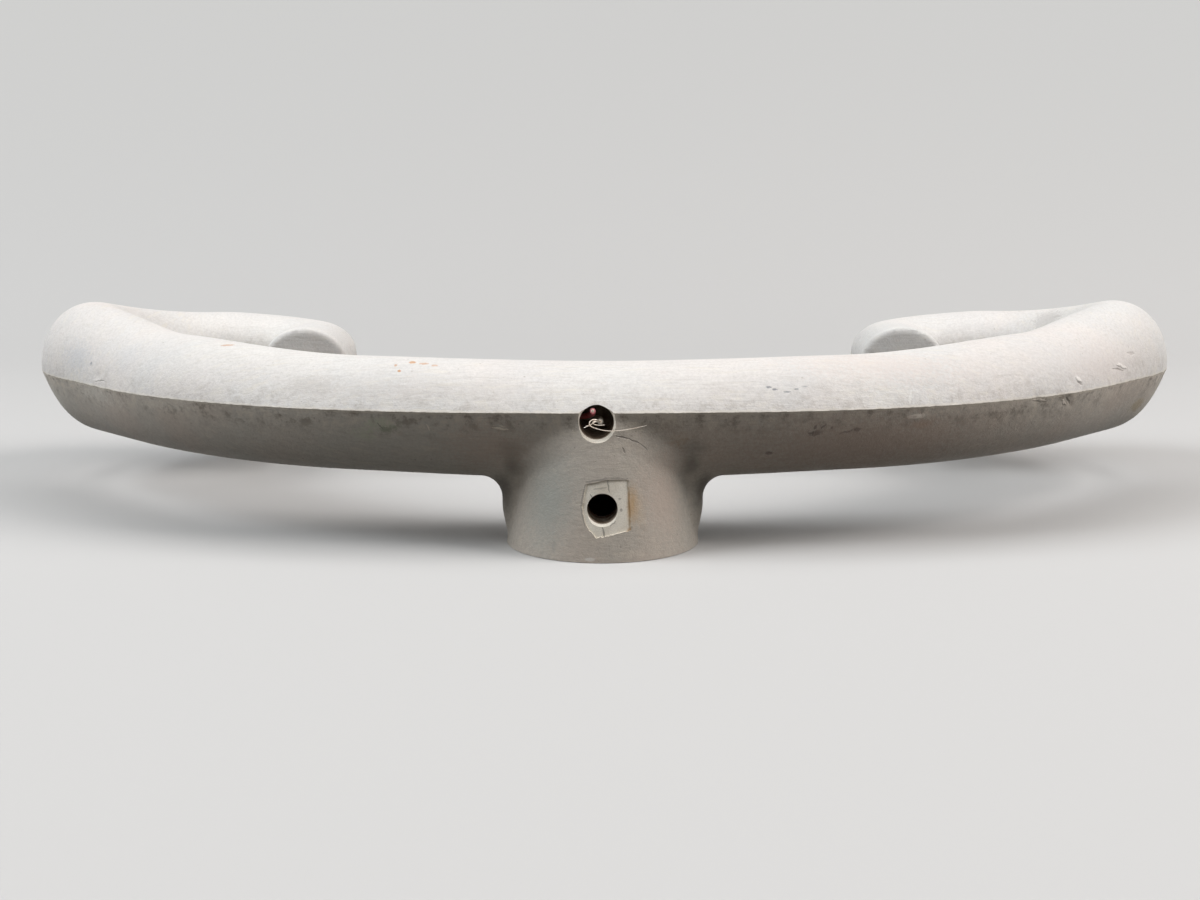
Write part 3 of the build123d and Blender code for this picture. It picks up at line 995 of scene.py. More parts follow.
FRONT_MARKS = (
    Mark((0.16, 0.17, 0.22), 0.75, (-124.3, 31.2, 36.3), (0.9, 0.9, 0.8)),
    # Painted cool shade on the left loop
    Mark((0.60, 0.62, 0.66), 0.50, (-128.5, 39.0, 37.0), (10.0, 14.0, 5.5), uneven=2.2, core=0.0),
    Mark((0.68, 0.68, 0.70), 0.35, (-112.0, 22.0, 39.0), (9.0, 7.0, 5.0), uneven=2.4, core=0.0),
    Mark((0.55, 0.26, 0.10), 0.6, (-85.7, 42.6), (2.0, 0.7, 0.8)),
    Mark(RUST, 0.75, (-41.5, 40.5), (1.0, 1.4, 0.26), uneven=1.5),
    Mark(RUST, 0.55, (-39.0, 40.3), (1.3, 1.4, 0.20), uneven=1.5),
    Mark(RUST, 0.50, (-36.5, 40.0), (0.9, 1.4, 0.18), uneven=1.4),
    Mark(RUST, 0.60, (-45.0, 40.0), (0.4, 1.4, 0.28), uneven=1.2),
    Mark(RUST, 0.80, (-44.0, 39.0), (0.5, 1.4, 0.28), uneven=1.2),
    Mark(SLATE, 0.75, (35.5, 36.0), (0.8, 1.2, 0.26), uneven=2.0, core=0.4),
    Mark(SLATE, 0.80, (37.0, 35.5), (0.8, 1.2, 0.30), uneven=2.0, core=0.4),
    Mark(SLATE, 0.60, (39.5, 35.0), (0.9, 1.2, 0.24), uneven=2.0, core=0.4),
    Mark(SLATE, 0.60, (41.5, 35.5), (0.8, 1.2, 0.20), uneven=2.0, core=0.4),
    Mark(SLATE, 0.45, (43.5, 36.0), (1.0, 1.2, 0.20), uneven=2.0, core=0.4),
    Mark((0.95, 0.94, 0.91), 0.60, (67.0, 34.5), end=(66.5, 32.0), width=0.5, uneven=1.2),
    Mark((0.40, 0.38, 0.36), 0.6, (-123.4, 28.0, 32.6), end=(-120.6, 25.6, 34.0), width=0.32, depth=0.16),
    Mark((0.52, 0.50, 0.48), 0.5, (-122.6, 27.6, 32.0), end=(-118.6, 24.4, 32.9), width=0.30, depth=0.12),
    Mark((0.94, 0.92, 0.88), 0.9, (109.6, 15.6, 34.5),
        end=(111.4, 16.9, 33.3), width=0.75, uneven=0.5, depth=-0.28),
    Mark((0.42, 0.37, 0.34), 0.6, (109.9, 15.6, 33.3), end=(111.8, 17.0, 32.5), width=0.35, depth=0.14),
    Mark((0.93, 0.90, 0.86), 0.8, (123.6, 29.8, 35.9),
        end=(127.2, 34.0, 34.4), width=0.60, uneven=1.6, depth=-0.22),
    Mark((0.48, 0.43, 0.40), 0.6, (122.2, 28.6, 34.9),
        end=(126.0, 32.4, 33.9), width=0.45, uneven=1.8, depth=0.14),
    Mark((0.55, 0.50, 0.47), 0.5, (128.4, 36.0, 37.6),
        end=(131.0, 40.4, 37.2), width=0.5, uneven=1.8, depth=0.10),
    Mark((0.42, 0.38, 0.35), 0.55, (103.2, 11.6, 36.6), end=(109.4, 16.6, 35.9), width=0.22),
    Mark((0.45, 0.40, 0.36), 0.45, (101.4, 10.2, 35.4), end=(105.5, 13.2, 35.2), width=0.18),
    Mark((0.55, 0.52, 0.50), 0.45, (123.6, 88.7, 41.3), (5.0, 6.0, 4.0), uneven=2.4),
    Mark((0.50, 0.47, 0.45), 0.35, (127.6, 84.0, 42.8), end=(118.6, 92.0, 41.0), width=0.5),
    Mark((0.60, 0.57, 0.54), 0.35, (-64.0, -6.4, 36.0), (8.0, 4.0, 3.0), uneven=2.4),
    # Painted warm light on the right half
    Mark((0.78, 0.67, 0.62), 0.45, (62.0, -2.0, 40.0), (34.0, 11.0, 8.0), uneven=1.8, core=0.0),
    Mark((0.74, 0.67, 0.64), 0.45, (118.0, 24.0, 36.0), (22.0, 20.0, 6.0), uneven=1.8, core=0.0),
    Mark((0.70, 0.66, 0.63), 0.40, (-40.0, -9.0, 35.0), (36.0, 9.0, 3.4), uneven=2.0, core=0.0),
    Mark((0.60, 0.56, 0.53), 0.40, (84.0, 2.0, 38.4), end=(97.0, 7.6, 39.0), width=0.35, uneven=1.6),
    Mark((0.58, 0.54, 0.51), 0.40, (88.0, 3.4, 36.4), end=(99.0, 8.6, 36.6), width=0.30, uneven=1.6),
)
REAR_MARKS = (
    Mark((0.52, 0.56, 0.42), 0.60, (-47.5, 28.0), (5.4, 3.0, 2.2), uneven=2.8, core=0.0),
    Mark((0.54, 0.57, 0.44), 0.50, (-51.5, 25.5), (4.4, 3.0, 2.4), uneven=2.8, core=0.0),
    Mark((0.22, 0.22, 0.16), 0.60, (-46.0, 27.0), (3.0, 2.4, 1.2), uneven=3.0, core=0.0),
    Mark(DARK, 0.5, (-48.5, 28.5), end=(-47.0, 27.0), width=0.3, uneven=2.0),
    Mark(CREAM, 0.70, (-37.5, 28.5), end=(-37.0, 27.0), width=0.22),
    Mark(CREAM, 0.95, (-23.5, 27.8), end=(-20.0, 27.3), width=0.34),
    Mark(CREAM, 0.70, (-22.0, 28.2), end=(-20.5, 27.9), width=0.20),
    Mark(DARK, 0.95, (45.5, 26.0), (1.8, 1.6, 0.9), uneven=2.6),
    Mark(DARK, 0.80, (46.0, 28.0), end=(45.5, 27.0), width=0.40, uneven=1.6),
    Mark(DARK, 0.80, (48.0, 28.0), end=(47.0, 27.0), width=0.35, uneven=1.6),
    Mark(DARK, 0.80, (49.5, 27.5), end=(49.0, 27.0), width=0.35, uneven=1.6),
    Mark(DARK, 0.90, (55.0, 26.5), (1.1, 1.4, 0.55), uneven=1.4),
    Mark(DARK, 0.75, (51.0, 25.5), end=(54.0, 26.5), width=0.38, uneven=1.4),
    Mark(DARK, 0.9, (36.0, 21.5), (1.0, 1.4, 0.55), uneven=0.9),
    Mark((0.98, 0.92, 0.82), 1.00, (68.5, 29.0), (3.0, 1.8, 0.70), uneven=1.6),
    Mark((0.46, 0.26, 0.16), 0.50, (70.0, 27.0), (4.6, 2.6, 1.6), uneven=2.0, core=0.0),
    Mark(DARK, 0.7, (59.5, -7.4, 30.6), end=(66.0, -5.9, 30.5), width=0.25),
    Mark((0.66, 0.60, 0.54), 0.7, (105.4, 13.2, 30.0),
        end=(107.0, 14.2, 28.2), width=0.55, uneven=1.8, depth=-0.20),
    Mark((0.22, 0.19, 0.17), 0.7, (106.8, 14.0, 30.0),
        end=(108.2, 15.2, 28.4), width=0.40, uneven=1.8, depth=0.16),
    Mark((0.70, 0.64, 0.57), 0.7, (97.2, 30.6), end=(100.6, 30.2), width=0.45, uneven=1.4, depth=-0.12),
    Mark((0.50, 0.42, 0.36), 0.50, (128.0, 27.5), (14.0, 16.0, 6.0), uneven=2.4, core=0.0),
    Mark((0.46, 0.36, 0.30), 0.75, (58.0, -6.0, 23.0), (56.0, 20.0, 11.0), uneven=1.8, core=0.0),
    # Painted shade on the webs beside the hub and on the belly just above them
    Mark(WEB_PAINTED_SHADE, 0.85, (-21.5, 12.0), (3.3, 5.6, 9.0), uneven=0.4, core=0.1),
    Mark(WEB_PAINTED_SHADE, 0.65, (-19.6, -8.5, 19.0), (3.0, 4.5, 5.5), uneven=0.4, core=0.1),
    Mark(WEB_PAINTED_SHADE, 0.45, (-19.6, -11.4, 23.0), (5.0, 4.0, 4.0), uneven=0.6, core=0.0),
    Mark(WEB_PAINTED_SHADE, 0.85, (22.0, 12.5), (3.3, 5.6, 9.0), uneven=0.4, core=0.1),
    Mark(WEB_PAINTED_SHADE, 0.65, (19.3, -8.5, 19.5), (3.0, 4.5, 5.5), uneven=0.4, core=0.1),
    Mark(WEB_PAINTED_SHADE, 0.45, (19.4, -11.4, 23.4), (5.0, 4.0, 4.0), uneven=0.6, core=0.0),
    Mark((0.52, 0.40, 0.33), 0.50, (-24.0, -9.0, 24.0), (16.0, 14.0, 9.0), uneven=1.8, core=0.0),
    Mark((0.80, 0.77, 0.70), 0.50, (-122.0, 28.0, 29.0), (15.0, 17.0, 3.4), uneven=3.2, core=0.0),
    Mark((0.78, 0.74, 0.66), 0.50, (-98.0, 9.6, 29.8), (18.0, 11.0, 2.6), uneven=3.2, core=0.0),
    Mark((0.78, 0.74, 0.67), 0.40, (-66.0, -5.6, 30.2), (18.0, 9.0, 1.5), uneven=3.0, core=0.0),
    Mark((0.76, 0.69, 0.61), 0.45, (84.0, 1.0, 30.0), (26.0, 15.0, 1.9), uneven=3.0, core=0.0),
    Mark((0.76, 0.69, 0.61), 0.40, (122.0, 29.6), (14.0, 14.0, 2.4), uneven=3.2, core=0.0),
    Mark((0.40, 0.31, 0.16), 0.55, (134.9, 23.4), (4.0, 4.0, 2.4), uneven=2.4),
    Mark((0.20, 0.18, 0.16), 0.75, (2.9, 26.3), end=(5.6, 25.6), width=0.26, uneven=0.7, depth=0.10),
    Mark((0.20, 0.18, 0.16), 0.70, (5.6, 25.6), end=(8.0, 24.5), width=0.24, uneven=0.7, depth=0.08),
    Mark((0.22, 0.20, 0.18), 0.60, (8.0, 24.5), end=(9.6, 23.0), width=0.22, uneven=0.7, depth=0.06),
    Mark((0.26, 0.23, 0.20), 0.65, (4.2, 23.8), end=(4.8, 22.7), width=0.30, uneven=0.6, depth=0.10),
    Mark((0.58, 0.37, 0.17), 0.75, (6.4, 12.0), (1.7, 3.0, 6.2), uneven=0.8, core=0.0),
    Mark((0.66, 0.50, 0.32), 0.35, (7.6, 11.0), (2.6, 3.4, 6.6), uneven=1.2, core=0.0),
    # Dark lines along the patch's top and left edges: grime, with painted shadow where the edge steps down
    # into the patch
    Mark((0.20, 0.18, 0.16), 0.60, (-3.5, 16.7), end=(1.2, 17.6), width=0.26, uneven=0.7),
    Mark((0.20, 0.18, 0.16), 0.55, (1.2, 17.6), end=(5.4, 17.4), width=0.22, uneven=0.7),
    Mark((0.20, 0.18, 0.16), 0.60, (-3.6, 16.2), end=(-4.6, 11.4), width=0.26, uneven=0.7),
    Mark((0.22, 0.20, 0.18), 0.50, (-4.6, 11.4), end=(-3.7, 7.6), width=0.22, uneven=0.7),
    # Painted light on the hub: a darker, cooler left side, a warmer right side and a lighter front, as if lit
    # from the front right
    Mark((0.40, 0.42, 0.39), 0.75, (-11.5, 12.0), (10.0, 10.0, 16.0), uneven=0.9, core=0.0),
    Mark((0.66, 0.53, 0.45), 0.55, (13.0, 12.0), (9.0, 9.0, 15.0), uneven=1.0, core=0.0),
    Mark((0.62, 0.56, 0.50), 0.45, (0.0, -17.0, 20.5), (7.0, 3.0, 4.0), uneven=1.4, core=0.0),
    Mark((0.88, 0.86, 0.82), 0.5, (-2.6, 0.7), (1.4, 1.0, 0.5), uneven=0.4),
    Mark((0.40, 0.38, 0.35), 0.4, (-10.4, -18.6, 3.2), (0.6, 1.0, 2.2), uneven=1.6),
    Mark((0.34, 0.32, 0.30), 0.4, (-19.0, -8.8, 8.4), (0.5, 0.9, 0.9), uneven=1.6),
    Mark((0.38, 0.32, 0.27), 0.6, (13.6, -13.4, 28.4), (5.4, 3.4, 2.4), uneven=2.4, core=0.1),
    Mark((0.46, 0.33, 0.22), 0.4, (16.4, -12.2, 25.4), (3.0, 3.0, 3.2), uneven=2.2, core=0.0),
)


@dataclass(frozen=True)
class MouldingFinish:
    """Pale matt moulding: blotched, grimed, sanded and marked by use; some of its marks are painted light and
    shade.
    """

    name: str
    marks: tuple[Mark, ...]
    colour: Colour = (0.83, 0.815, 0.795)
    warm: Colour = (0.83, 0.76, 0.73)
    cool: Colour = (0.735, 0.75, 0.76)
    grime: Colour = (0.46, 0.42, 0.37)
    edge: Colour = (0.84, 0.80, 0.72)
    edge_height: float = 0.28
    mottle: float = 0.36
    mottle_reach: float = 8.0
    broad: float = 0.045
    small: float = 0.32
    grain: float = 0.75
    strokes: float = 1.0
    warm_share: float = 0.55
    cool_share: float = 0.40
    stain_share: float = 0.30
    pore_share: float = 0.28
    speck_share: float = 0.55
    worn_share: float = 0.7
    line_share: float = 0.75
    line_width: float = 0.22
    grain_height: float = 0.12
    gloss: float = 0.35

    def build(self, effects: Effects) -> bpy.types.Material:
        """The material.

        Args:
            effects: Shared node groups.

        Returns:
            The built material.
        """
        material = new_material(self.name)
        shade = Shade(material.node_tree)
        place = millimetres(shade)
        patina = group(shade, effects.patina, {"Place": place, "Broad": self.broad, "Small": self.small})
        grain = group(shade, effects.grain, {"Place": place, "Grain": self.grain, "Strokes": self.strokes})
        drift = shade.span(shade.noise(place, 0.02, 3, 0.5), 0.35, 0.65)
        blotches, stains = patina.outputs["Blotches"], patina.outputs["Stains"]
        colour = shade.mix(shade.math("MULTIPLY", drift, self.warm_share), self.colour, self.warm)
        colour = shade.mix(shade.math("MULTIPLY", blotches, self.cool_share), colour, self.cool)
        colour = shade.mix(shade.math("MULTIPLY", stains, self.stain_share), colour, self.warm)
        fine = shade.noise(place, 1.5, 4, 0.7)
        tone = shade.span(fine, 0.25, 0.75, 0.90, 1.04)
        colour = shade.mix(1.0, colour, tone_colour(shade, tone), "MULTIPLY")
        colour = self.rubbed(shade, place, colour)
        pores = shade.math("MULTIPLY", grain.outputs["Pores"], self.pore_share)
        colour = shade.mix(pores, colour, self.grime)
        colour = self.edged(shade, place, colour)
        colour, relief = marked(shade, effects, place, colour, self.marks)
        normal = shade.bump(relief, 1.0, 1.0, shade.bump(grain.outputs["Height"], 0.8, self.grain_height))
        shine = shade.span(fine, 0.3, 0.7, 0.60, 0.46)
        shader = material.node_tree.nodes["Principled BSDF"]
        shade.feed(shader.inputs["Base Color"], colour)
        shade.feed(shader.inputs["Roughness"], shine)
        shade.feed(shader.inputs["Normal"], normal)
        shader.inputs["Specular IOR Level"].default_value = self.gloss
        return material

    def rubbed(self, shade: Shade, place: Socket, colour: Socket) -> Socket:
        """Lays hand dirt along the horn, in strokes, scratches and specks.

        Args:
            shade: Builder of the tree.
            place: Place in millimetres.
            colour: Colour so far.

        Returns:
            The new colour.
        """
        across = shade.add("SeparateXYZ", {0: place}).outputs["X"]
        side = shade.math("ABSOLUTE", across)
        turned_share = shade.span(side, 88.0, 122.0)
        layers = (
            ((0.10, 1.0, 1.0), (1.0, 0.10, 1.0), 1.5, 0.47, 0.66, self.grime, 0.17),
            ((0.14, 1.1, 0.8), (1.1, 0.14, 0.8), 0.7, 0.52, 0.70, self.edge, 0.45),
            ((0.05, 1.5, 1.5), (1.5, 0.05, 1.5), 1.3, 0.64, 0.72, self.grime, 0.30),
        )
        for along_bar, along_loop, scale, low, high, tint, amount in layers:
            first = shade.noise(shade.stretched(place, along_bar), scale, 4, 0.7)
            second = shade.noise(shade.stretched(place, along_loop), scale, 4, 0.7)
            change = shade.math("MULTIPLY", turned_share, shade.math("SUBTRACT", second, first))
            value = shade.math("ADD", first, change)
            colour = shade.mix(shade.math("MULTIPLY", shade.span(value, low, high), amount), colour, tint)
        specks = shade.span(shade.cells(place, 0.33), 0.10, 0.04)
        specks = shade.math("MULTIPLY", specks, shade.span(shade.noise(place, 0.08, 2, 0.5), 0.42, 0.58))
        return shade.mix(shade.math("MULTIPLY", specks, self.speck_share), colour, self.grime)

    def edged(self, shade: Shade, place: Socket, colour: Socket) -> Socket:
        """Wears the edge at the parting plane and darkens the bond line with grime and a painted shadow under
        the overhanging edge.

        Args:
            shade: Builder of the tree.
            place: Place in millimetres.
            colour: Colour so far.

        Returns:
            The new colour.
        """
        joint_off = shade.math("ABSOLUTE", shade.math("SUBTRACT", shade.height(place), PART_Z))
        near = shade.math("MULTIPLY", shade.span(joint_off, self.mottle_reach, 0.5), self.mottle)
        cloud = shade.noise(place, 0.30, 5, 0.72)
        colour = shade.mix(shade.math("MULTIPLY", shade.span(cloud, 0.50, 0.64), near), colour, self.edge)
        colour = shade.mix(shade.math("MULTIPLY", shade.span(cloud, 0.50, 0.36), near), colour, self.grime)
        wave = shade.noise(place, 0.55, 4, 0.7)
        jag = shade.math("MULTIPLY", shade.math("SUBTRACT", wave, 0.52), 1.5)
        jagged = shade.math("ADD", joint_off, jag)
        worn = shade.span(jagged, self.edge_height * 2.2, self.edge_height * 0.4)
        colour = shade.mix(shade.math("MULTIPLY", worn, self.worn_share), colour, self.edge)
        # The bond line's dark colour is grime together with a painted shadow under the upper half's
        # overhanging edge
        broken = shade.span(shade.noise(place, 0.35, 3, 0.6), 0.42, 0.60)
        line = shade.math("MULTIPLY", shade.span(joint_off, self.line_width, 0.04), broken)
        return shade.mix(shade.math("MULTIPLY", line, self.line_share), colour, self.grime)


@dataclass(frozen=True)
class PlainFinish:
    """A finish of one colour with blotches, grain and a second colour in its stains."""

    name: str
    colour: Colour
    stain: Colour
    metallic: float = 0.0
    rough: tuple[float, float] = (0.45, 0.65)
    amount: float = 0.5
    broad: float = 0.5
    small: float = 2.4
    grain: float = 0.6
    strokes: float = 0.2
    depth: float = 0.05
    marks: tuple[Mark, ...] = ()

    def build(self, effects: Effects) -> bpy.types.Material:
        """The material.

        Args:
            effects: Shared node groups.

        Returns:
            The built material.
        """
        material = new_material(self.name)
        shade = Shade(material.node_tree)
        place = millimetres(shade)
        patina = group(shade, effects.patina, {"Place": place, "Broad": self.broad, "Small": self.small})
        grain = group(shade, effects.grain, {"Place": place, "Grain": self.grain, "Strokes": self.strokes})
        cover = shade.math("MAXIMUM", patina.outputs["Blotches"], patina.outputs["Stains"])
        colour = shade.mix(shade.math("MULTIPLY", cover, self.amount), self.colour, self.stain)
        tone = shade.span(shade.noise(place, 5.0, 3, 0.6), 0.25, 0.75, 0.85, 1.1)
        colour = shade.mix(1.0, colour, tone_colour(shade, tone), "MULTIPLY")
        normal = shade.bump(grain.outputs["Height"], 0.5, self.depth)
        if self.marks:
            colour, relief = marked(shade, effects, place, colour, self.marks)
            normal = shade.bump(relief, 1.0, 1.0, normal)
        shader = material.node_tree.nodes["Principled BSDF"]
        shade.feed(shader.inputs["Base Color"], colour)
        shade.feed(shader.inputs["Roughness"], shade.span(cover, 0, 1, *self.rough))
        shade.feed(shader.inputs["Normal"], normal)
        shader.inputs["Metallic"].default_value = self.metallic
        return material


def new_material(name: str) -> bpy.types.Material:
    """A material with a Principled BSDF.

    Args:
        name: Its name.

    Returns:
        The material.
    """
    material = bpy.data.materials.new(name)
    material.use_nodes = True
    return material


def millimetres(shade: Shade) -> Socket:
    """Object coordinates in millimetres."""
    return shade.scaled(shade.add("TexCoord").outputs["Object"], 1 / MM)


def tone_colour(shade: Shade, tone: Socket) -> Socket:
    """A grey of the given tone."""
    return shade.add("CombineColor", {0: tone, 1: tone, 2: tone}).outputs[0]


def group(shade: Shade, tree: bpy.types.NodeTree, inputs: dict) -> bpy.types.Node:
    """Places a shared effect with its own values.

    Args:
        shade: Builder of the tree.
        tree: The effect's group.
        inputs: Values or sockets by input name.

    Returns:
        The node.
    """
    node = shade.add("Group", node_tree=tree)
    for key, value in inputs.items():
        shade.feed(node.inputs[key], value)
    return node


def marked(
    shade: Shade,
    effects: Effects,
    place: Socket,
    colour: Socket,
    marks: tuple[Mark, ...],
) -> tuple[Socket, Socket]:
    """Lays marks over a colour and adds up their relief.

    Args:
        shade: Builder of the tree.
        effects: Shared node groups.
        place: Place in millimetres.
        colour: Colour so far.
        marks: The marks.

    Returns:
        The new colour, and the relief's height in millimetres.
    """
    relief: object = 0.0
    for mark in marks:
        if mark.end is None:
            inputs = {"Centre": mark.start, "Reach": mark.reach, "Unevenness": mark.uneven, "Core": mark.core}
            tree = effects.spot
        else:
            waver = mark.uneven * 0.6
            inputs = {"Start": mark.start, "End": mark.end, "Width": mark.width, "Waver": waver}
            tree = effects.streak
        mask = group(shade, tree, {"Place": place, **inputs}).outputs[0]
        colour = shade.mix(shade.math("MULTIPLY", mask, mark.strength), colour, mark.colour)
        if mark.depth:
            relief = shade.math("ADD", relief, shade.math("MULTIPLY", mask, -mark.depth))
    return colour, relief


INSULATION = {"amount": 0.6, "broad": 0.4, "small": 1.2, "grain": 0.4, "strokes": 0.0, "depth": 0.02}
PATCH_MARKS = (
    Mark((0.20, 0.19, 0.18), 0.75, (1.2, 17.1), end=(1.4, 14.4), width=0.24, depth=0.06),
    Mark((0.22, 0.20, 0.18), 0.55, (-1.9, 15.2), end=(1.0, 15.6), width=0.20),
    Mark((0.22, 0.20, 0.18), 0.65, (-2.6, 14.2), end=(-1.9, 12.9), width=0.20),
    Mark((0.22, 0.20, 0.18), 0.70, (0.0, 7.4), end=(0.5, 5.2), width=0.28, depth=0.05),
    Mark((0.25, 0.22, 0.20), 0.55, (1.6, 7.6), end=(2.9, 8.6), width=0.20),
    Mark((0.25, 0.22, 0.20), 0.6, (4.0, 10.8), (0.35, 1.0, 0.45)),
    Mark((0.25, 0.22, 0.20), 0.5, (3.7, 13.2), (0.4, 1.0, 0.3)),
    Mark((0.60, 0.38, 0.16), 0.80, (5.9, 11.6), (1.0, 2.4, 7.2), uneven=0.6, core=0.1),
    Mark((0.48, 0.28, 0.11), 0.65, (5.7, 6.2), (0.8, 1.6, 1.4), uneven=0.9, core=0.2),
    Mark((0.62, 0.56, 0.46), 0.45, (0.5, 15.0), (4.5, 2.0, 2.4), uneven=1.8, core=0.0),
)

FINISHES = (
    PlainFinish(
        "bare_core",
        (0.89, 0.845, 0.75),
        (0.72, 0.65, 0.54),
        rough=(0.55, 0.75),
        amount=0.4,
        broad=0.3,
        small=1.4,
        marks=PATCH_MARKS,
    ),
    PlainFinish(
        "hole_wall",
        (0.36, 0.30, 0.24),
        (0.16, 0.10, 0.06),
        rough=(0.7, 0.85),
        amount=0.8,
        small=0.9,
    ),
    PlainFinish(
        "rusted_steel",
        (0.20, 0.095, 0.05),
        (0.07, 0.035, 0.022),
        metallic=0.25,
        rough=(0.62, 0.85),
        amount=0.8,
        broad=0.4,
        small=1.6,
        grain=1.2,
        strokes=0.0,
        depth=0.16,
    ),
    PlainFinish(
        "nickel_plate",
        (0.60, 0.58, 0.54),
        (0.40, 0.36, 0.30),
        metallic=1.0,
        rough=(0.24, 0.42),
        broad=0.4,
        small=1.8,
        grain=0.3,
        strokes=0.5,
        depth=0.02,
    ),
    PlainFinish("brass_contact", (0.68, 0.49, 0.20), (0.42, 0.27, 0.11), metallic=1.0, rough=(0.26, 0.45)),
    PlainFinish(
        "black_button",
        (0.035, 0.034, 0.034),
        (0.09, 0.085, 0.08),
        rough=(0.34, 0.50),
        amount=0.45,
        broad=0.4,
        small=1.5,
        grain=0.5,
        strokes=0.0,
        depth=0.03,
    ),
    PlainFinish("brown_insulator", (0.20, 0.10, 0.05), (0.10, 0.05, 0.03), rough=(0.4, 0.55)),
    PlainFinish("red_insulation", (0.80, 0.17, 0.21), (0.88, 0.46, 0.48), rough=(0.36, 0.5), **INSULATION),
    PlainFinish("white_insulation", (0.66, 0.63, 0.56), (0.42, 0.38, 0.32), rough=(0.4, 0.55), **INSULATION),
    PlainFinish(
        "tinned_copper",
        (0.80, 0.74, 0.66),
        (0.62, 0.46, 0.34),
        metallic=0.85,
        rough=(0.28, 0.42),
        small=2.0,
        grain=0.3,
        strokes=0.0,
        depth=0.01,
    ),
    PlainFinish("sleeve_rubber", (0.05, 0.048, 0.045), (0.10, 0.095, 0.09), rough=(0.6, 0.75)),
)


# Sub-assemblies


@dataclass
class Mouldings:
    """The two bonded half mouldings, with their holes and the chipped patch."""

    plan: HornPlan
    skins: dict[str, bpy.types.Material]
    bolt_radius: float = 3.25
    bolt_height: float = 11.1
    bolt_chamfer: float = 0.4
    outlet_radius: float = 3.7
    outlet_back: float = -3.0
    outlet_chamfer: float = 0.5
    sleeve_radius: float = 13.55
    sleeve_height: float = 24.4
    switch_depth: float = 15.4
    patch_seed: int = 11
    patch_step: float = 0.45
    patch_jog: float = 0.07
    patch_cell: float = 0.9
    overrun: float = 5.0
    sharp_angle: float = 34.0
    fine_step: float = 0.8
    quick_step: float = 1.3
    patch_outline: tuple[tuple[float, float], ...] = (
        (-3.4, 16.3),
        (1.2, 17.3),
        (5.5, 17.1),
        (5.9, 12.0),
        (6.1, 6.6),
        (-1.3, 5.1),
        (-3.5, 7.7),
        (-4.3, 11.5),
    )

    def front_y(self, height: float, x: float = 0.0) -> float:
        """Y of the hub's front at a height."""
        return -math.sqrt(hub_radius(height) ** 2 - x * x)

    def skin(self, half: Half, name: str, material: str, dents: tuple[Dent, ...]) -> Piece:
        """Closed shell of one half, before its holes.

        Args:
            half: Which half.
            name: Name of the piece.
            material: Its outer finish.
            dents: Its dents.

        Returns:
            The shell.
        """
        form = MouldingForm(self.plan, half, dents, step=self.fine_step)
        x, y, z = form.grid()
        values = form.value(x[:, None, None], y[None, :, None], z[None, None, :])
        beyond = (PART_Z - z) if half is Half.FRONT else np.maximum(z - PART_Z, -z)
        values = np.maximum(values, beyond[None, None, :])
        vertices, cells, quads = surface_nets(values)
        start = np.array([x[0], y[0], z[0]])
        spacing = np.array([x[1] - x[0], y[1] - y[0], z[1] - z[0]])
        points = start + vertices * spacing
        flat = np.zeros(len(points), bool)
        held = flat.copy()
        layers = [0] if half is Half.FRONT else [0, len(z) - 2]
        for layer in layers:
            inner = layer + 1 if layer == 0 else layer
            at = cells[:, 2] == layer
            across, back = cells[at, 0], cells[at, 1]
            corners = [values[across + i, back + j, inner] < 0 for i, j in product((0, 1), repeat=2)]
            flat[at] = True
            held[np.nonzero(at)[0][np.all(corners, axis=0)]] = True
            points[at, 2] = PART_Z if (layer or half is Half.FRONT) else 0.0
        points = settle(form, points, flat, held)
        shell = mesh_object(name, points, quads.tolist())
        for key in (material, "bare_core", "hole_wall"):
            shell.data.materials.append(self.skins[key])
        LOG.info("%s shell: %d quads", name, len(quads))
        return shell

    def tool(self, made: Piece, index: int) -> Piece:
        """Gives a cutter the material that its walls leave behind.

        Args:
            made: The cutter.
            index: Slot of that material in the mouldings.

        Returns:
            The cutter.
        """
        for key in ("bare_core", "bare_core", "hole_wall"):
            made.data.materials.append(self.skins[key])
        made.data.polygons.foreach_set("material_index", [index] * len(made.data.polygons))
        return made

    def outlet_tool(self) -> Piece:
        """Cutter for the cord outlet, with a worn rim.

        Returns:
            The cutter.
        """
        front = self.front_y(OUTLET_HEIGHT)
        rim = self.outlet_radius + self.outlet_chamfer
        profile = [
            (0.0, self.outlet_back),
            (self.outlet_radius, self.outlet_back),
            (self.outlet_radius, front + self.outlet_chamfer * 1.4),
            (rim, front - 0.05),
            (rim + 0.3, front - self.overrun),
            (0.0, front - self.overrun),
        ]
        centre = (OUTLET_X, 0, OUTLET_HEIGHT)
        made = self.tool(turned("outlet_tool", profile, centre), 2)
        for face in made.data.polygons:
            if face.center.y < (front + self.outlet_chamfer * 1.3) * MM:
                face.material_index = 1
        return made

    def bolt_tool(self) -> Piece:
        """Cutter for the cross bolt's hole, with its edges broken.

        Returns:
            The cutter.
        """
        reach = -self.front_y(self.bolt_height)
        wide = self.bolt_radius + self.bolt_chamfer
        half = [
            (self.bolt_radius, reach - self.bolt_chamfer),
            (wide, reach + 0.1),
            (wide + 0.3, reach + self.overrun),
            (0.0, reach + self.overrun),
        ]
        profile = [(r, -y) for r, y in reversed(half)] + half
        made = self.tool(turned("bolt_tool", profile, (0, 0, self.bolt_height)), 1)
        for face in made.data.polygons:
            if abs(face.center.y) < (reach - self.bolt_chamfer) * MM:
                face.material_index = 2
        return made

    def bore(self, radius: float, depth: float) -> list[tuple[float, float]]:
        """Profile of a plain bore's cutter, which runs out of the mouth."""
        return [(0.0, depth), (radius, depth), (radius, -self.overrun), (0.0, -self.overrun)]

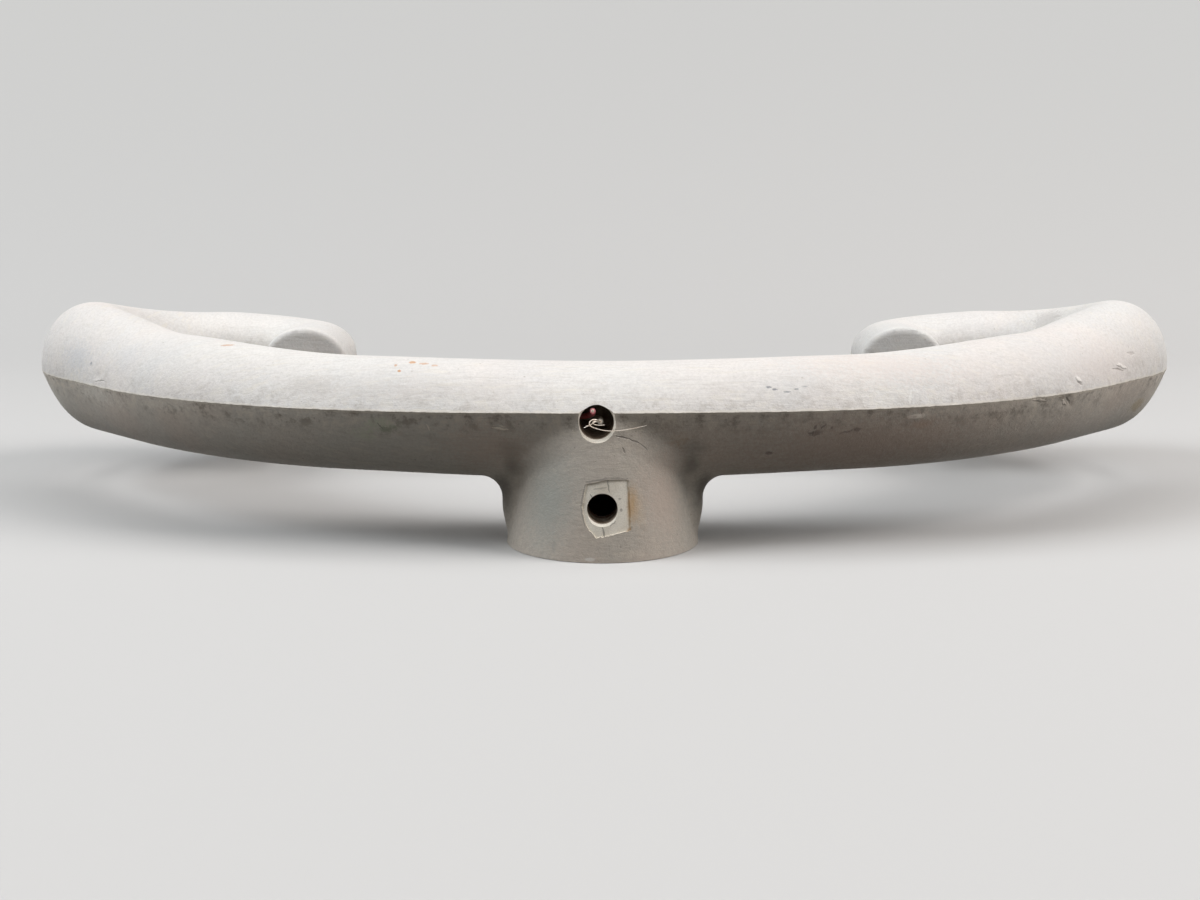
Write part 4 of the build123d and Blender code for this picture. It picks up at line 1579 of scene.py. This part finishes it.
    def socket_tool(self) -> Piece:
        """Cutter for the steel sleeve's seat."""
        profile = self.bore(self.sleeve_radius, self.sleeve_height)
        return self.tool(turned("socket_tool", profile, (0, 0, 0), "Z"), 2)

    def switch_tool(self) -> Piece:
        """Cutter for the talk switch's bore in the left end face."""
        profile = self.bore(SWITCH_BORE, self.switch_depth)
        return self.tool(turned("switch_tool", profile, (self.plan.tip_x, self.plan.tip_y, SWITCH_Z)), 2)

    def patch_tool(self) -> Piece:
        """Cutter for the patch where the finish has chipped off round the bolt hole.

        Returns:
            The cutter.
        """
        draws = np.random.default_rng(self.patch_seed)
        outline = []
        corners = self.patch_outline
        for (x0, z0), (x1, z1) in zip(corners, corners[1:] + corners[:1]):
            count = max(2, round(math.hypot(x1 - x0, z1 - z0) / self.patch_step))
            for i in range(count):
                share = i / count
                jog = draws.normal(size=2) * self.patch_jog
                outline.append((x0 + (x1 - x0) * share + jog[0], z0 + (z1 - z0) * share + jog[1]))
        work = bmesh.new()
        ring = [work.verts.new((x, 0, z)) for x, z in outline]
        edges = [work.edges.new(pair) for pair in zip(ring, ring[1:] + ring[:1])]
        bmesh.ops.triangle_fill(work, use_beauty=True, edges=edges)
        for _ in range(2):
            long_edges = [edge for edge in work.edges if edge.calc_length() > self.patch_cell]
            bmesh.ops.subdivide_edges(work, edges=long_edges, cuts=1)
            bmesh.ops.triangulate(work, faces=work.faces)
        floor = list(work.verts)
        out = bmesh.ops.extrude_face_region(work, geom=list(work.faces))
        lifted = {v for v in out["geom"] if isinstance(v, bmesh.types.BMVert)}
        for vert in floor:
            vert.co.y = self.front_y(vert.co.z, vert.co.x) + PATCH_DEPTH
        for vert in lifted:
            vert.co.y = self.front_y(vert.co.z, vert.co.x) - self.overrun
        bmesh.ops.recalc_face_normals(work, faces=work.faces)
        bmesh.ops.scale(work, vec=(MM, MM, MM), verts=work.verts)
        mesh = bpy.data.meshes.new("patch_tool")
        work.to_mesh(mesh)
        work.free()
        made = bpy.data.objects.new("patch_tool", mesh)
        bpy.context.scene.collection.objects.link(made)
        return self.tool(made, 1)

    def build(self) -> None:
        """Makes, cuts and dresses both halves."""
        front = self.skin(Half.FRONT, "front_moulding", "front_moulding", FRONT_DENTS)
        rear = self.skin(Half.REAR, "rear_moulding", "rear_moulding", REAR_DENTS)
        cut(front, self.outlet_tool())
        cut(front, self.switch_tool())
        cut(rear, self.socket_tool())
        cut(rear, self.outlet_tool())
        cut(rear, self.switch_tool())
        cut(rear, self.patch_tool())
        cut(rear, self.bolt_tool())
        for piece in (front, rear):
            piece.data.set_sharp_from_angle(angle=math.radians(self.sharp_angle))
        dressed(front, Slot.MOULDING, "yoke", "front_half")
        dressed(rear, Slot.MOULDING, "yoke", "rear_half")


@dataclass
class TalkSwitch:
    """Push-to-talk switch in the left end face."""

    plan: HornPlan
    skins: dict[str, bpy.types.Material]
    bezel_radius: float = 4.1
    bezel_soft: float = 0.22
    bezel_thickness: float = 1.3
    washer_thickness: float = 0.4
    ridge_count: int = 30
    ridge_depth: float = 0.16
    button_radius: float = 2.1
    button_front: float = -3.9
    collar_radius: float = 2.7
    collar_front: float = -1.05
    collar_back: float = -0.25
    stem_radius: float = 0.8
    stem_end: float = 4.35
    spring_front: float = 4.75
    spring_back: float = 8.3
    spring_radius: float = 0.95
    spring_wire: float = 0.18
    spring_turns: float = 4.0
    travel: float = 1.2
    sharp_angle: float = 40.0

    def centre(self) -> Place:
        """Middle of the switch in the plane of the end face."""
        return (self.plan.tip_x, self.plan.tip_y, SWITCH_Z)

    def bezel(self) -> Piece:
        """Threaded dress nut with a ridged rim.

        Returns:
            The nut.
        """
        outer = self.bezel_radius - self.ridge_depth
        front = -self.bezel_thickness - self.washer_thickness
        back = -self.washer_thickness
        soft = self.bezel_soft
        profile = [
            (SWITCH_BORE, back),
            (SWITCH_BORE, front + soft),
            (SWITCH_BORE + soft * 0.3, front + soft * 0.3),
            (SWITCH_BORE + soft * 0.8, front),
            (outer - soft, front),
            (outer - soft * 0.3, front + soft * 0.3),
            (outer, front + soft),
            (outer, back - 0.08),
            (outer - 0.08, back),
        ]
        ring = turned("bezel_ring", profile, self.centre(), sides=120)
        ring.data.materials.append(self.skins["nickel_plate"])
        ridges = self.ridges(outer, front + soft, back - 0.1)
        made = joined("dress_nut", [ring, ridges])
        made.data.set_sharp_from_angle(angle=math.radians(self.sharp_angle))
        return made

    def ridges(self, radius: float, front: float, back: float) -> Piece:
        """Ridges round the nut's rim, set out by geometry nodes.

        Args:
            radius: Of the rim that they stand on.
            front: Where they start along the axis.
            back: Where they end.

        Returns:
            The ridges as one mesh.
        """
        inputs = {"Count": "Int"} | dict.fromkeys(("Rim Radius", "Length", "Depth"), "Float")
        tree, source = started_tree("rim_ridges", inputs)
        add, link = tree.nodes.new, tree.links.new
        circle, ridge = add("GeometryNodeMeshCircle"), add("GeometryNodeMeshCylinder")
        circle.fill_type = "NONE"
        link(source.outputs["Count"], circle.inputs["Vertices"])
        link(source.outputs["Rim Radius"], circle.inputs["Radius"])
        ridge.inputs["Vertices"].default_value = 8
        link(source.outputs["Depth"], ridge.inputs["Radius"])
        link(source.outputs["Length"], ridge.inputs["Depth"])
        placed = add("GeometryNodeInstanceOnPoints")
        link(circle.outputs["Mesh"], placed.inputs["Points"])
        link(ridge.outputs["Mesh"], placed.inputs["Instance"])
        finish_tree(tree, source, placed.outputs[0])
        made = mesh_object("rim_ridges", np.zeros((0, 3)), [])
        values = {
            "Count": self.ridge_count,
            "Rim Radius": radius * MM,
            "Length": (back - front) * MM,
            "Depth": self.ridge_depth * MM,
            "Material": self.skins["nickel_plate"],
        }
        run_tree(made, tree, values)
        middle = Vector((self.plan.tip_x, self.plan.tip_y + (front + back) / 2, SWITCH_Z))
        made.data.transform(Matrix.Translation(middle * MM) @ Matrix.Rotation(math.pi / 2, 4, "X"))
        return made

    def button(self) -> Piece:
        """Button cap with a dished face, its stop collar and its stem.

        Returns:
            The button.
        """
        face, edge = self.button_front, 0.45
        profile = [(0.0, face + 0.34), (0.6, face + 0.31), (1.1, face + 0.20), (1.45, face + 0.05)]
        for i in range(7):
            angle = math.pi / 2 * i / 6
            spread = self.button_radius - edge + edge * math.sin(angle)
            profile.append((spread, face + edge * (1 - math.cos(angle))))
        profile += [
            (self.button_radius, self.collar_front),
            (self.collar_radius, self.collar_front),
            (self.collar_radius, self.collar_back),
            (self.stem_radius, self.collar_back),
            (self.stem_radius, self.stem_end),
            (0.0, self.stem_end),
        ]
        made = turned("button_cap", profile, self.centre(), sides=72)
        made.data.materials.append(self.skins["black_button"])
        made.data.set_sharp_from_angle(angle=math.radians(self.sharp_angle))
        return made

    def spring(self) -> Piece:
        """Return spring, wound by geometry nodes.

        Returns:
            The spring.
        """
        inputs = dict.fromkeys(("Turns", "Coil Radius", "Height", "Wire"), "Float")
        tree, source = started_tree("wound_spring", inputs)
        add, link = tree.nodes.new, tree.links.new
        coil, wire = add("GeometryNodeCurveSpiral"), add("GeometryNodeCurvePrimitiveCircle")
        coil.inputs["Resolution"].default_value = 28
        wire.inputs["Resolution"].default_value = 10
        link(source.outputs["Turns"], coil.inputs["Rotations"])
        link(source.outputs["Coil Radius"], coil.inputs["Start Radius"])
        link(source.outputs["Coil Radius"], coil.inputs["End Radius"])
        link(source.outputs["Height"], coil.inputs["Height"])
        link(source.outputs["Wire"], wire.inputs["Radius"])
        swept = add("GeometryNodeCurveToMesh")
        swept.inputs["Fill Caps"].default_value = True
        link(coil.outputs[0], swept.inputs["Curve"])
        link(wire.outputs[0], swept.inputs["Profile Curve"])
        finish_tree(tree, source, swept.outputs[0])
        made = mesh_object("return_spring", np.zeros((0, 3)), [])
        length = self.spring_back - self.spring_front - 2 * self.spring_wire
        values = {
            "Turns": self.spring_turns,
            "Coil Radius": self.spring_radius * MM,
            "Height": length * MM,
            "Wire": self.spring_wire * MM,
            "Material": self.skins["nickel_plate"],
        }
        run_tree(made, tree, values)
        low = self.plan.tip_y + self.spring_front + self.spring_wire
        start = Vector((self.plan.tip_x, low, SWITCH_Z))
        made.data.transform(Matrix.Translation(start * MM) @ Matrix.Rotation(-math.pi / 2, 4, "X"))
        face_out(made)
        made.data.polygons.foreach_set("use_smooth", [True] * len(made.data.polygons))
        return made

    def build(self) -> None:
        """Makes the switch's outer pieces and its spring."""
        dressed(self.bezel(), Slot.PLATED, "yoke", "switch_bezel")
        dressed(self.button(), Slot.BUTTON, "talk_button", "switch_button")
        spring = dressed(self.spring(), Slot.PLATED, "yoke", "switch_spring")
        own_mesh(spring)


def started_tree(name: str, inputs: dict[str, str]) -> tuple[bpy.types.NodeTree, bpy.types.Node]:
    """Starts a geometry node tree with named inputs and a material.

    Args:
        name: Its name.
        inputs: Kind of each input by name.

    Returns:
        The tree and the node that holds its inputs.
    """
    tree = bpy.data.node_groups.new(name, "GeometryNodeTree")
    for key, kind in (inputs | {"Material": "Material"}).items():
        tree.interface.new_socket(key, in_out="INPUT", socket_type="NodeSocket" + kind)
    tree.interface.new_socket("Geometry", in_out="OUTPUT", socket_type="NodeSocketGeometry")
    return tree, tree.nodes.new("NodeGroupInput")


def finish_tree(tree: bpy.types.NodeTree, source: bpy.types.Node, made: Socket) -> None:
    """Ends a geometry node tree with real copies and their material.

    Args:
        tree: The tree.
        source: Node that holds its inputs.
        made: The geometry.
    """
    real, dress = tree.nodes.new("GeometryNodeRealizeInstances"), tree.nodes.new("GeometryNodeSetMaterial")
    tree.links.new(made, real.inputs[0])
    tree.links.new(real.outputs[0], dress.inputs["Geometry"])
    tree.links.new(source.outputs["Material"], dress.inputs["Material"])
    tree.links.new(dress.outputs[0], tree.nodes.new("NodeGroupOutput").inputs[0])


def run_tree(piece: Piece, tree: bpy.types.NodeTree, values: dict) -> None:
    """Runs a geometry node tree on a piece and keeps the mesh that it makes.

    Args:
        piece: The piece.
        tree: The tree.
        values: Its inputs by name.
    """
    change = piece.modifiers.new("tree", "NODES")
    change.node_group = tree
    sockets = {item.name: item.identifier for item in tree.interface.items_tree if item.in_out == "INPUT"}
    for key, value in values.items():
        change[sockets[key]] = value
    baked(piece)


@dataclass
class Leads:
    """Cut ends of the switch's two leads in the outlet, and the loose strand."""

    skins: dict[str, bpy.types.Material]
    pitch: float = 1.6
    core_radius: float = 0.12
    stub_recess: float = 1.0
    ring_count: int = 6
    ring_spacing: float = 2.1
    tip_out: float = 0.12
    tip_step: float = 0.05
    tip_back: float = 0.4
    signal_rise: float = 2.4
    return_rise: float = 0.1
    strand_radius: float = 0.13
    strand_taper: float = 0.45
    strand_routes: tuple[tuple[tuple[float, float, float], ...], ...] = (
        (
            (0.3, 0.4, 0.7),
            (-0.8, 0.9, 0.9),
            (-1.5, 1.2, 0.4),
            (-1.5, 1.4, -0.3),
            (-0.7, 1.5, -0.8),
            (1.4, 1.4, -1.4),
            (3.6, 1.1, -1.6),
            (6.8, 0.4, -1.4),
            (10.6, -0.9, -0.7),
        ),
        ((0.2, 0.4, 0.2), (-0.5, 0.9, 0.6), (-1.0, 1.1, 0.1), (0.2, 1.2, -0.4), (1.7, 0.9, -0.3)),
        ((-0.4, 0.3, 0.3), (-1.1, 0.8, -0.2), (-1.7, 0.9, -0.4), (-2.6, 0.7, -0.9)),
    )

    def mouth_front(self, height: float) -> float:
        """Y of the outlet's mouth at a height, on the hub or on the crossbar's edge."""
        return min(-hub_radius(height), -BAR_HALF_WIDTH)

    def cut_end(self, side: int) -> Place:
        """Middle of a lead's cut end; side is 1 for the signal lead."""
        height = OUTLET_HEIGHT + (self.signal_rise if side > 0 else self.return_rise)
        return (OUTLET_X - side * self.pitch / 2, self.mouth_front(height) + self.stub_recess, height)

    def strand(self) -> Piece:
        """The loose strands, each on a smooth curve.

        Returns:
            The strands.
        """
        start = self.cut_end(-1)
        mouth = (OUTLET_X, self.mouth_front(OUTLET_HEIGHT), OUTLET_HEIGHT)
        curve = bpy.data.curves.new("loose_strand", "CURVE")
        curve.dimensions = "3D"
        for route in self.strand_routes:
            points = [start] + [(mouth[0] + r, mouth[1] - o, mouth[2] + u) for r, o, u in route]
            line = curve.splines.new("NURBS")
            line.points.add(len(points) - 1)
            for number, point in enumerate(points):
                line.points[number].co = (*(c * MM for c in point), 1)
                line.points[number].radius = 1.0 - self.strand_taper * number / (len(points) - 1)
            line.order_u = 3
            line.use_endpoint_u = True
        curve.resolution_u = 10
        curve.bevel_depth = self.strand_radius * MM
        curve.bevel_resolution = 3
        curve.use_fill_caps = True
        curve.materials.append(self.skins["tinned_copper"])
        made = bpy.data.objects.new("loose_strand", curve)
        bpy.context.scene.collection.objects.link(made)
        graph = bpy.context.evaluated_depsgraph_get()
        mesh = bpy.data.meshes.new_from_object(made.evaluated_get(graph))
        bpy.data.objects.remove(made)
        made = bpy.data.objects.new("loose_strand", mesh)
        bpy.context.scene.collection.objects.link(made)
        return made

    def strand_tips(self, side: int, name: str) -> Piece:
        """Bundle of conductor strands that shows at a lead's cut end.

        Args:
            side: 1 for the signal lead, -1 for the return lead.
            name: Name of the piece.

        Returns:
            The bundle.
        """
        x, y, z = self.cut_end(side)
        parts = []
        for i in range(self.ring_count + 1):
            angle = 2 * math.pi * i / self.ring_count
            spread = 0.0 if i == self.ring_count else self.ring_spacing * self.core_radius
            out = self.tip_out + self.tip_step * (i % 3)
            profile = [
                (0.0, self.tip_back),
                (self.core_radius, self.tip_back),
                (self.core_radius, -out),
                (self.core_radius / 2, -out - self.tip_step),
                (0.0, -out - self.tip_step),
            ]
            centre = (x + spread * math.cos(angle), y, z + spread * math.sin(angle))
            part = turned(f"{name}_{i}", profile, centre, sides=12)
            part.data.materials.append(self.skins["tinned_copper"])
            parts.append(part)
        return joined(name, parts)

    def build(self) -> None:
        """Makes the visible ends."""
        dressed(self.strand(), Slot.STRAND, "yoke", "wire_strand")
        dressed(self.strand_tips(1, "signal_strands"), Slot.STRAND, "yoke")
        dressed(self.strand_tips(-1, "return_strands"), Slot.STRAND, "yoke")


@dataclass(frozen=True)
class Lamp:
    """A square soft lamp: place and side in metres, power in watts."""

    name: str
    place: Place
    side: float
    power: float
    colour: Colour

    def build(self, aim: Place) -> None:
        """Hangs the lamp.

        Args:
            aim: What it points at.
        """
        data = bpy.data.lights.new(self.name, "AREA")
        data.shape, data.size, data.energy, data.color = "SQUARE", self.side, self.power, self.colour
        made = bpy.data.objects.new(self.name, data)
        made.location = self.place
        made.rotation_euler = (Vector(aim) - Vector(self.place)).to_track_quat("-Z", "Y").to_euler()
        bpy.context.scene.collection.objects.link(made)


LAMPS = (
    Lamp("top_light", (0.0, 0.10, 1.15), 1.0, 5.0, (1.0, 0.99, 0.975)),
    Lamp("left_light", (-1.05, -0.15, 0.85), 0.7, 11.5, (0.96, 0.985, 1.0)),
    Lamp("right_light", (1.05, -0.15, 0.85), 0.7, 12.5, (1.0, 0.96, 0.93)),
    Lamp("front_light", (0.1, -0.95, 0.95), 1.0, 1.5, (1.0, 0.98, 0.95)),
)


@dataclass
class Studio:
    """Plain pale floor, soft light and the camera."""

    aim: Place = (0, 0.04, 0.03)
    lens: float = 45.0
    sensor: float = 36.0
    place: Place = (1.18, -329.0, 79.6)
    tilt: float = 10.2
    turn: float = 0.0053
    roll: float = -0.0019
    floor_start: float = 0.34
    floor_half: float = 3.0
    floor_z: float = -0.0001
    bend: float = 0.5
    bend_steps: int = 24
    fade: tuple[float, float] = (0.45, 1.0)
    pale: Colour = (0.63, 0.63, 0.62)

    def backdrop(self) -> None:
        """Floor that curves up into a backdrop, and fades to the room's pale colour where it is far."""
        profile = [(-self.floor_half, self.floor_z), (self.floor_start, self.floor_z)]
        for i in range(1, self.bend_steps + 1):
            angle = math.pi / 2 * i / self.bend_steps
            rise = self.bend * (1 - math.cos(angle))
            profile.append((self.floor_start + self.bend * math.sin(angle), self.floor_z + rise))
        profile.append((self.floor_start + self.bend, self.floor_half))
        points = [(side * self.floor_half, y, z) for y, z in profile for side in (-1, 1)]
        faces = [(2 * i, 2 * i + 1, 2 * i + 3, 2 * i + 2) for i in range(len(profile) - 1)]
        made = mesh_object("studio_floor", np.array(points), faces, 1.0)
        material = new_material("studio_paper")
        shade = Shade(material.node_tree)
        seen = shade.seen()
        far = shade.span(shade.vector("LENGTH", shade.add("TexCoord").outputs["Object"]), *self.fade)
        far = shade.math("MULTIPLY", far, seen)
        colour = shade.mix(seen, (0.10, 0.095, 0.09), (0.62, 0.62, 0.62))
        shader = material.node_tree.nodes["Principled BSDF"]
        shade.feed(shader.inputs["Base Color"], shade.mix(far, colour, (0.0, 0.0, 0.0)))
        shade.feed(shader.inputs["Emission Color"], shade.mix(far, (0.0, 0.0, 0.0), self.pale))
        shader.inputs["Emission Strength"].default_value = 1.0
        material.cycles.emission_sampling = "NONE"
        shader.inputs["Roughness"].default_value = 0.95
        shader.inputs["Specular IOR Level"].default_value = 0.1
        made.data.materials.append(material)

    def camera(self) -> None:
        """The photograph's viewing angle."""
        data = bpy.data.cameras.new("camera")
        data.lens, data.sensor_width = self.lens, self.sensor
        data.clip_start, data.clip_end = 0.01, 50.0
        made = bpy.data.objects.new("camera", data)
        turn = Matrix.Rotation(self.turn, 4, "Z")
        tilt = Matrix.Rotation(math.radians(90 - self.tilt), 4, "X")
        roll = Matrix.Rotation(self.roll, 4, "Z")
        made.matrix_world = Matrix.Translation(Vector(self.place) * MM) @ turn @ tilt @ roll
        bpy.context.scene.collection.objects.link(made)
        bpy.context.scene.camera = made

    def build(self) -> None:
        """Sets the stage."""
        scene = bpy.context.scene
        scene.view_settings.view_transform = "Standard"
        self.camera()
        self.backdrop()
        for lamp in LAMPS:
            lamp.build(self.aim)
        scene.world = self.room()

    def room(self) -> bpy.types.World:
        """Soft light of a room, weaker towards the floor; pale where the camera sees it.

        Returns:
            The world.
        """
        world = bpy.data.worlds.new("room")
        world.use_nodes = True
        shade = Shade(world.node_tree)
        way = shade.add("TexCoord").outputs["Generated"]
        level = shade.span(shade.height(way), 0.0, 1.0, 0.02, 0.12)
        seen = shade.seen()
        soft = shade.mix(1.0, (1.0, 0.965, 0.93), tone_colour(shade, level), "MULTIPLY")
        ground = world.node_tree.nodes["Background"]
        shade.feed(ground.inputs["Color"], shade.mix(seen, soft, self.pale))
        return world


NODE_FINISHES = {
    "shaft_sleeve": "rusted_steel",
    "sleeve_cap": "rusted_steel",
    "armature_left": "rusted_steel",
    "armature_right": "rusted_steel",
    "armature_screws": "nickel_plate",
    "wire_signal": "red_insulation",
    "wire_return": "white_insulation",
    "wire_boots": "sleeve_rubber",
    "switch_can": "nickel_plate",
    "switch_washer": "nickel_plate",
    "switch_bridge": "brass_contact",
    "switch_base": "brown_insulator",
    "terminal_signal": "brass_contact",
    "terminal_return": "brass_contact",
}


def main() -> None:
    """Builds the finishes and the sub-assemblies."""
    logging.basicConfig(level=logging.INFO, format="%(name)s %(message)s")
    Studio().build()
    effects = Effects()
    plan = HornPlan()
    front = MouldingForm(plan, Half.FRONT, FRONT_DENTS)
    rear = MouldingForm(plan, Half.REAR, REAR_DENTS)
    skins = {}
    for finish in FINISHES:
        marks = tuple(mark.seated(rear, PATCH_DEPTH) for mark in finish.marks)
        skins[finish.name] = replace(finish, marks=marks).build(effects)
    front_marks = tuple(mark.seated(front) for mark in FRONT_MARKS)
    skins["front_moulding"] = MouldingFinish("front_moulding", front_marks).build(effects)
    # The rear moulding's darker, browner colour is partly grime and partly painted shade for the underside,
    # which faces away from the light
    skins["rear_moulding"] = MouldingFinish(
        "rear_moulding",
        tuple(mark.seated(rear) for mark in REAR_MARKS),
        colour=(0.590, 0.550, 0.490),
        warm=(0.600, 0.500, 0.425),
        cool=(0.520, 0.525, 0.480),
        grime=(0.27, 0.23, 0.19),
        edge=(0.68, 0.62, 0.53),
        mottle=0.85,
    ).build(effects)
    Mouldings(plan, skins).build()
    TalkSwitch(plan, skins).build()
    Leads(skins).build()
    for node, finish in NODE_FINISHES.items():
        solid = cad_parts[node]
        solid.data.materials.clear()
        solid.data.materials.append(skins[finish])


if __name__ == "__main__":
    main()
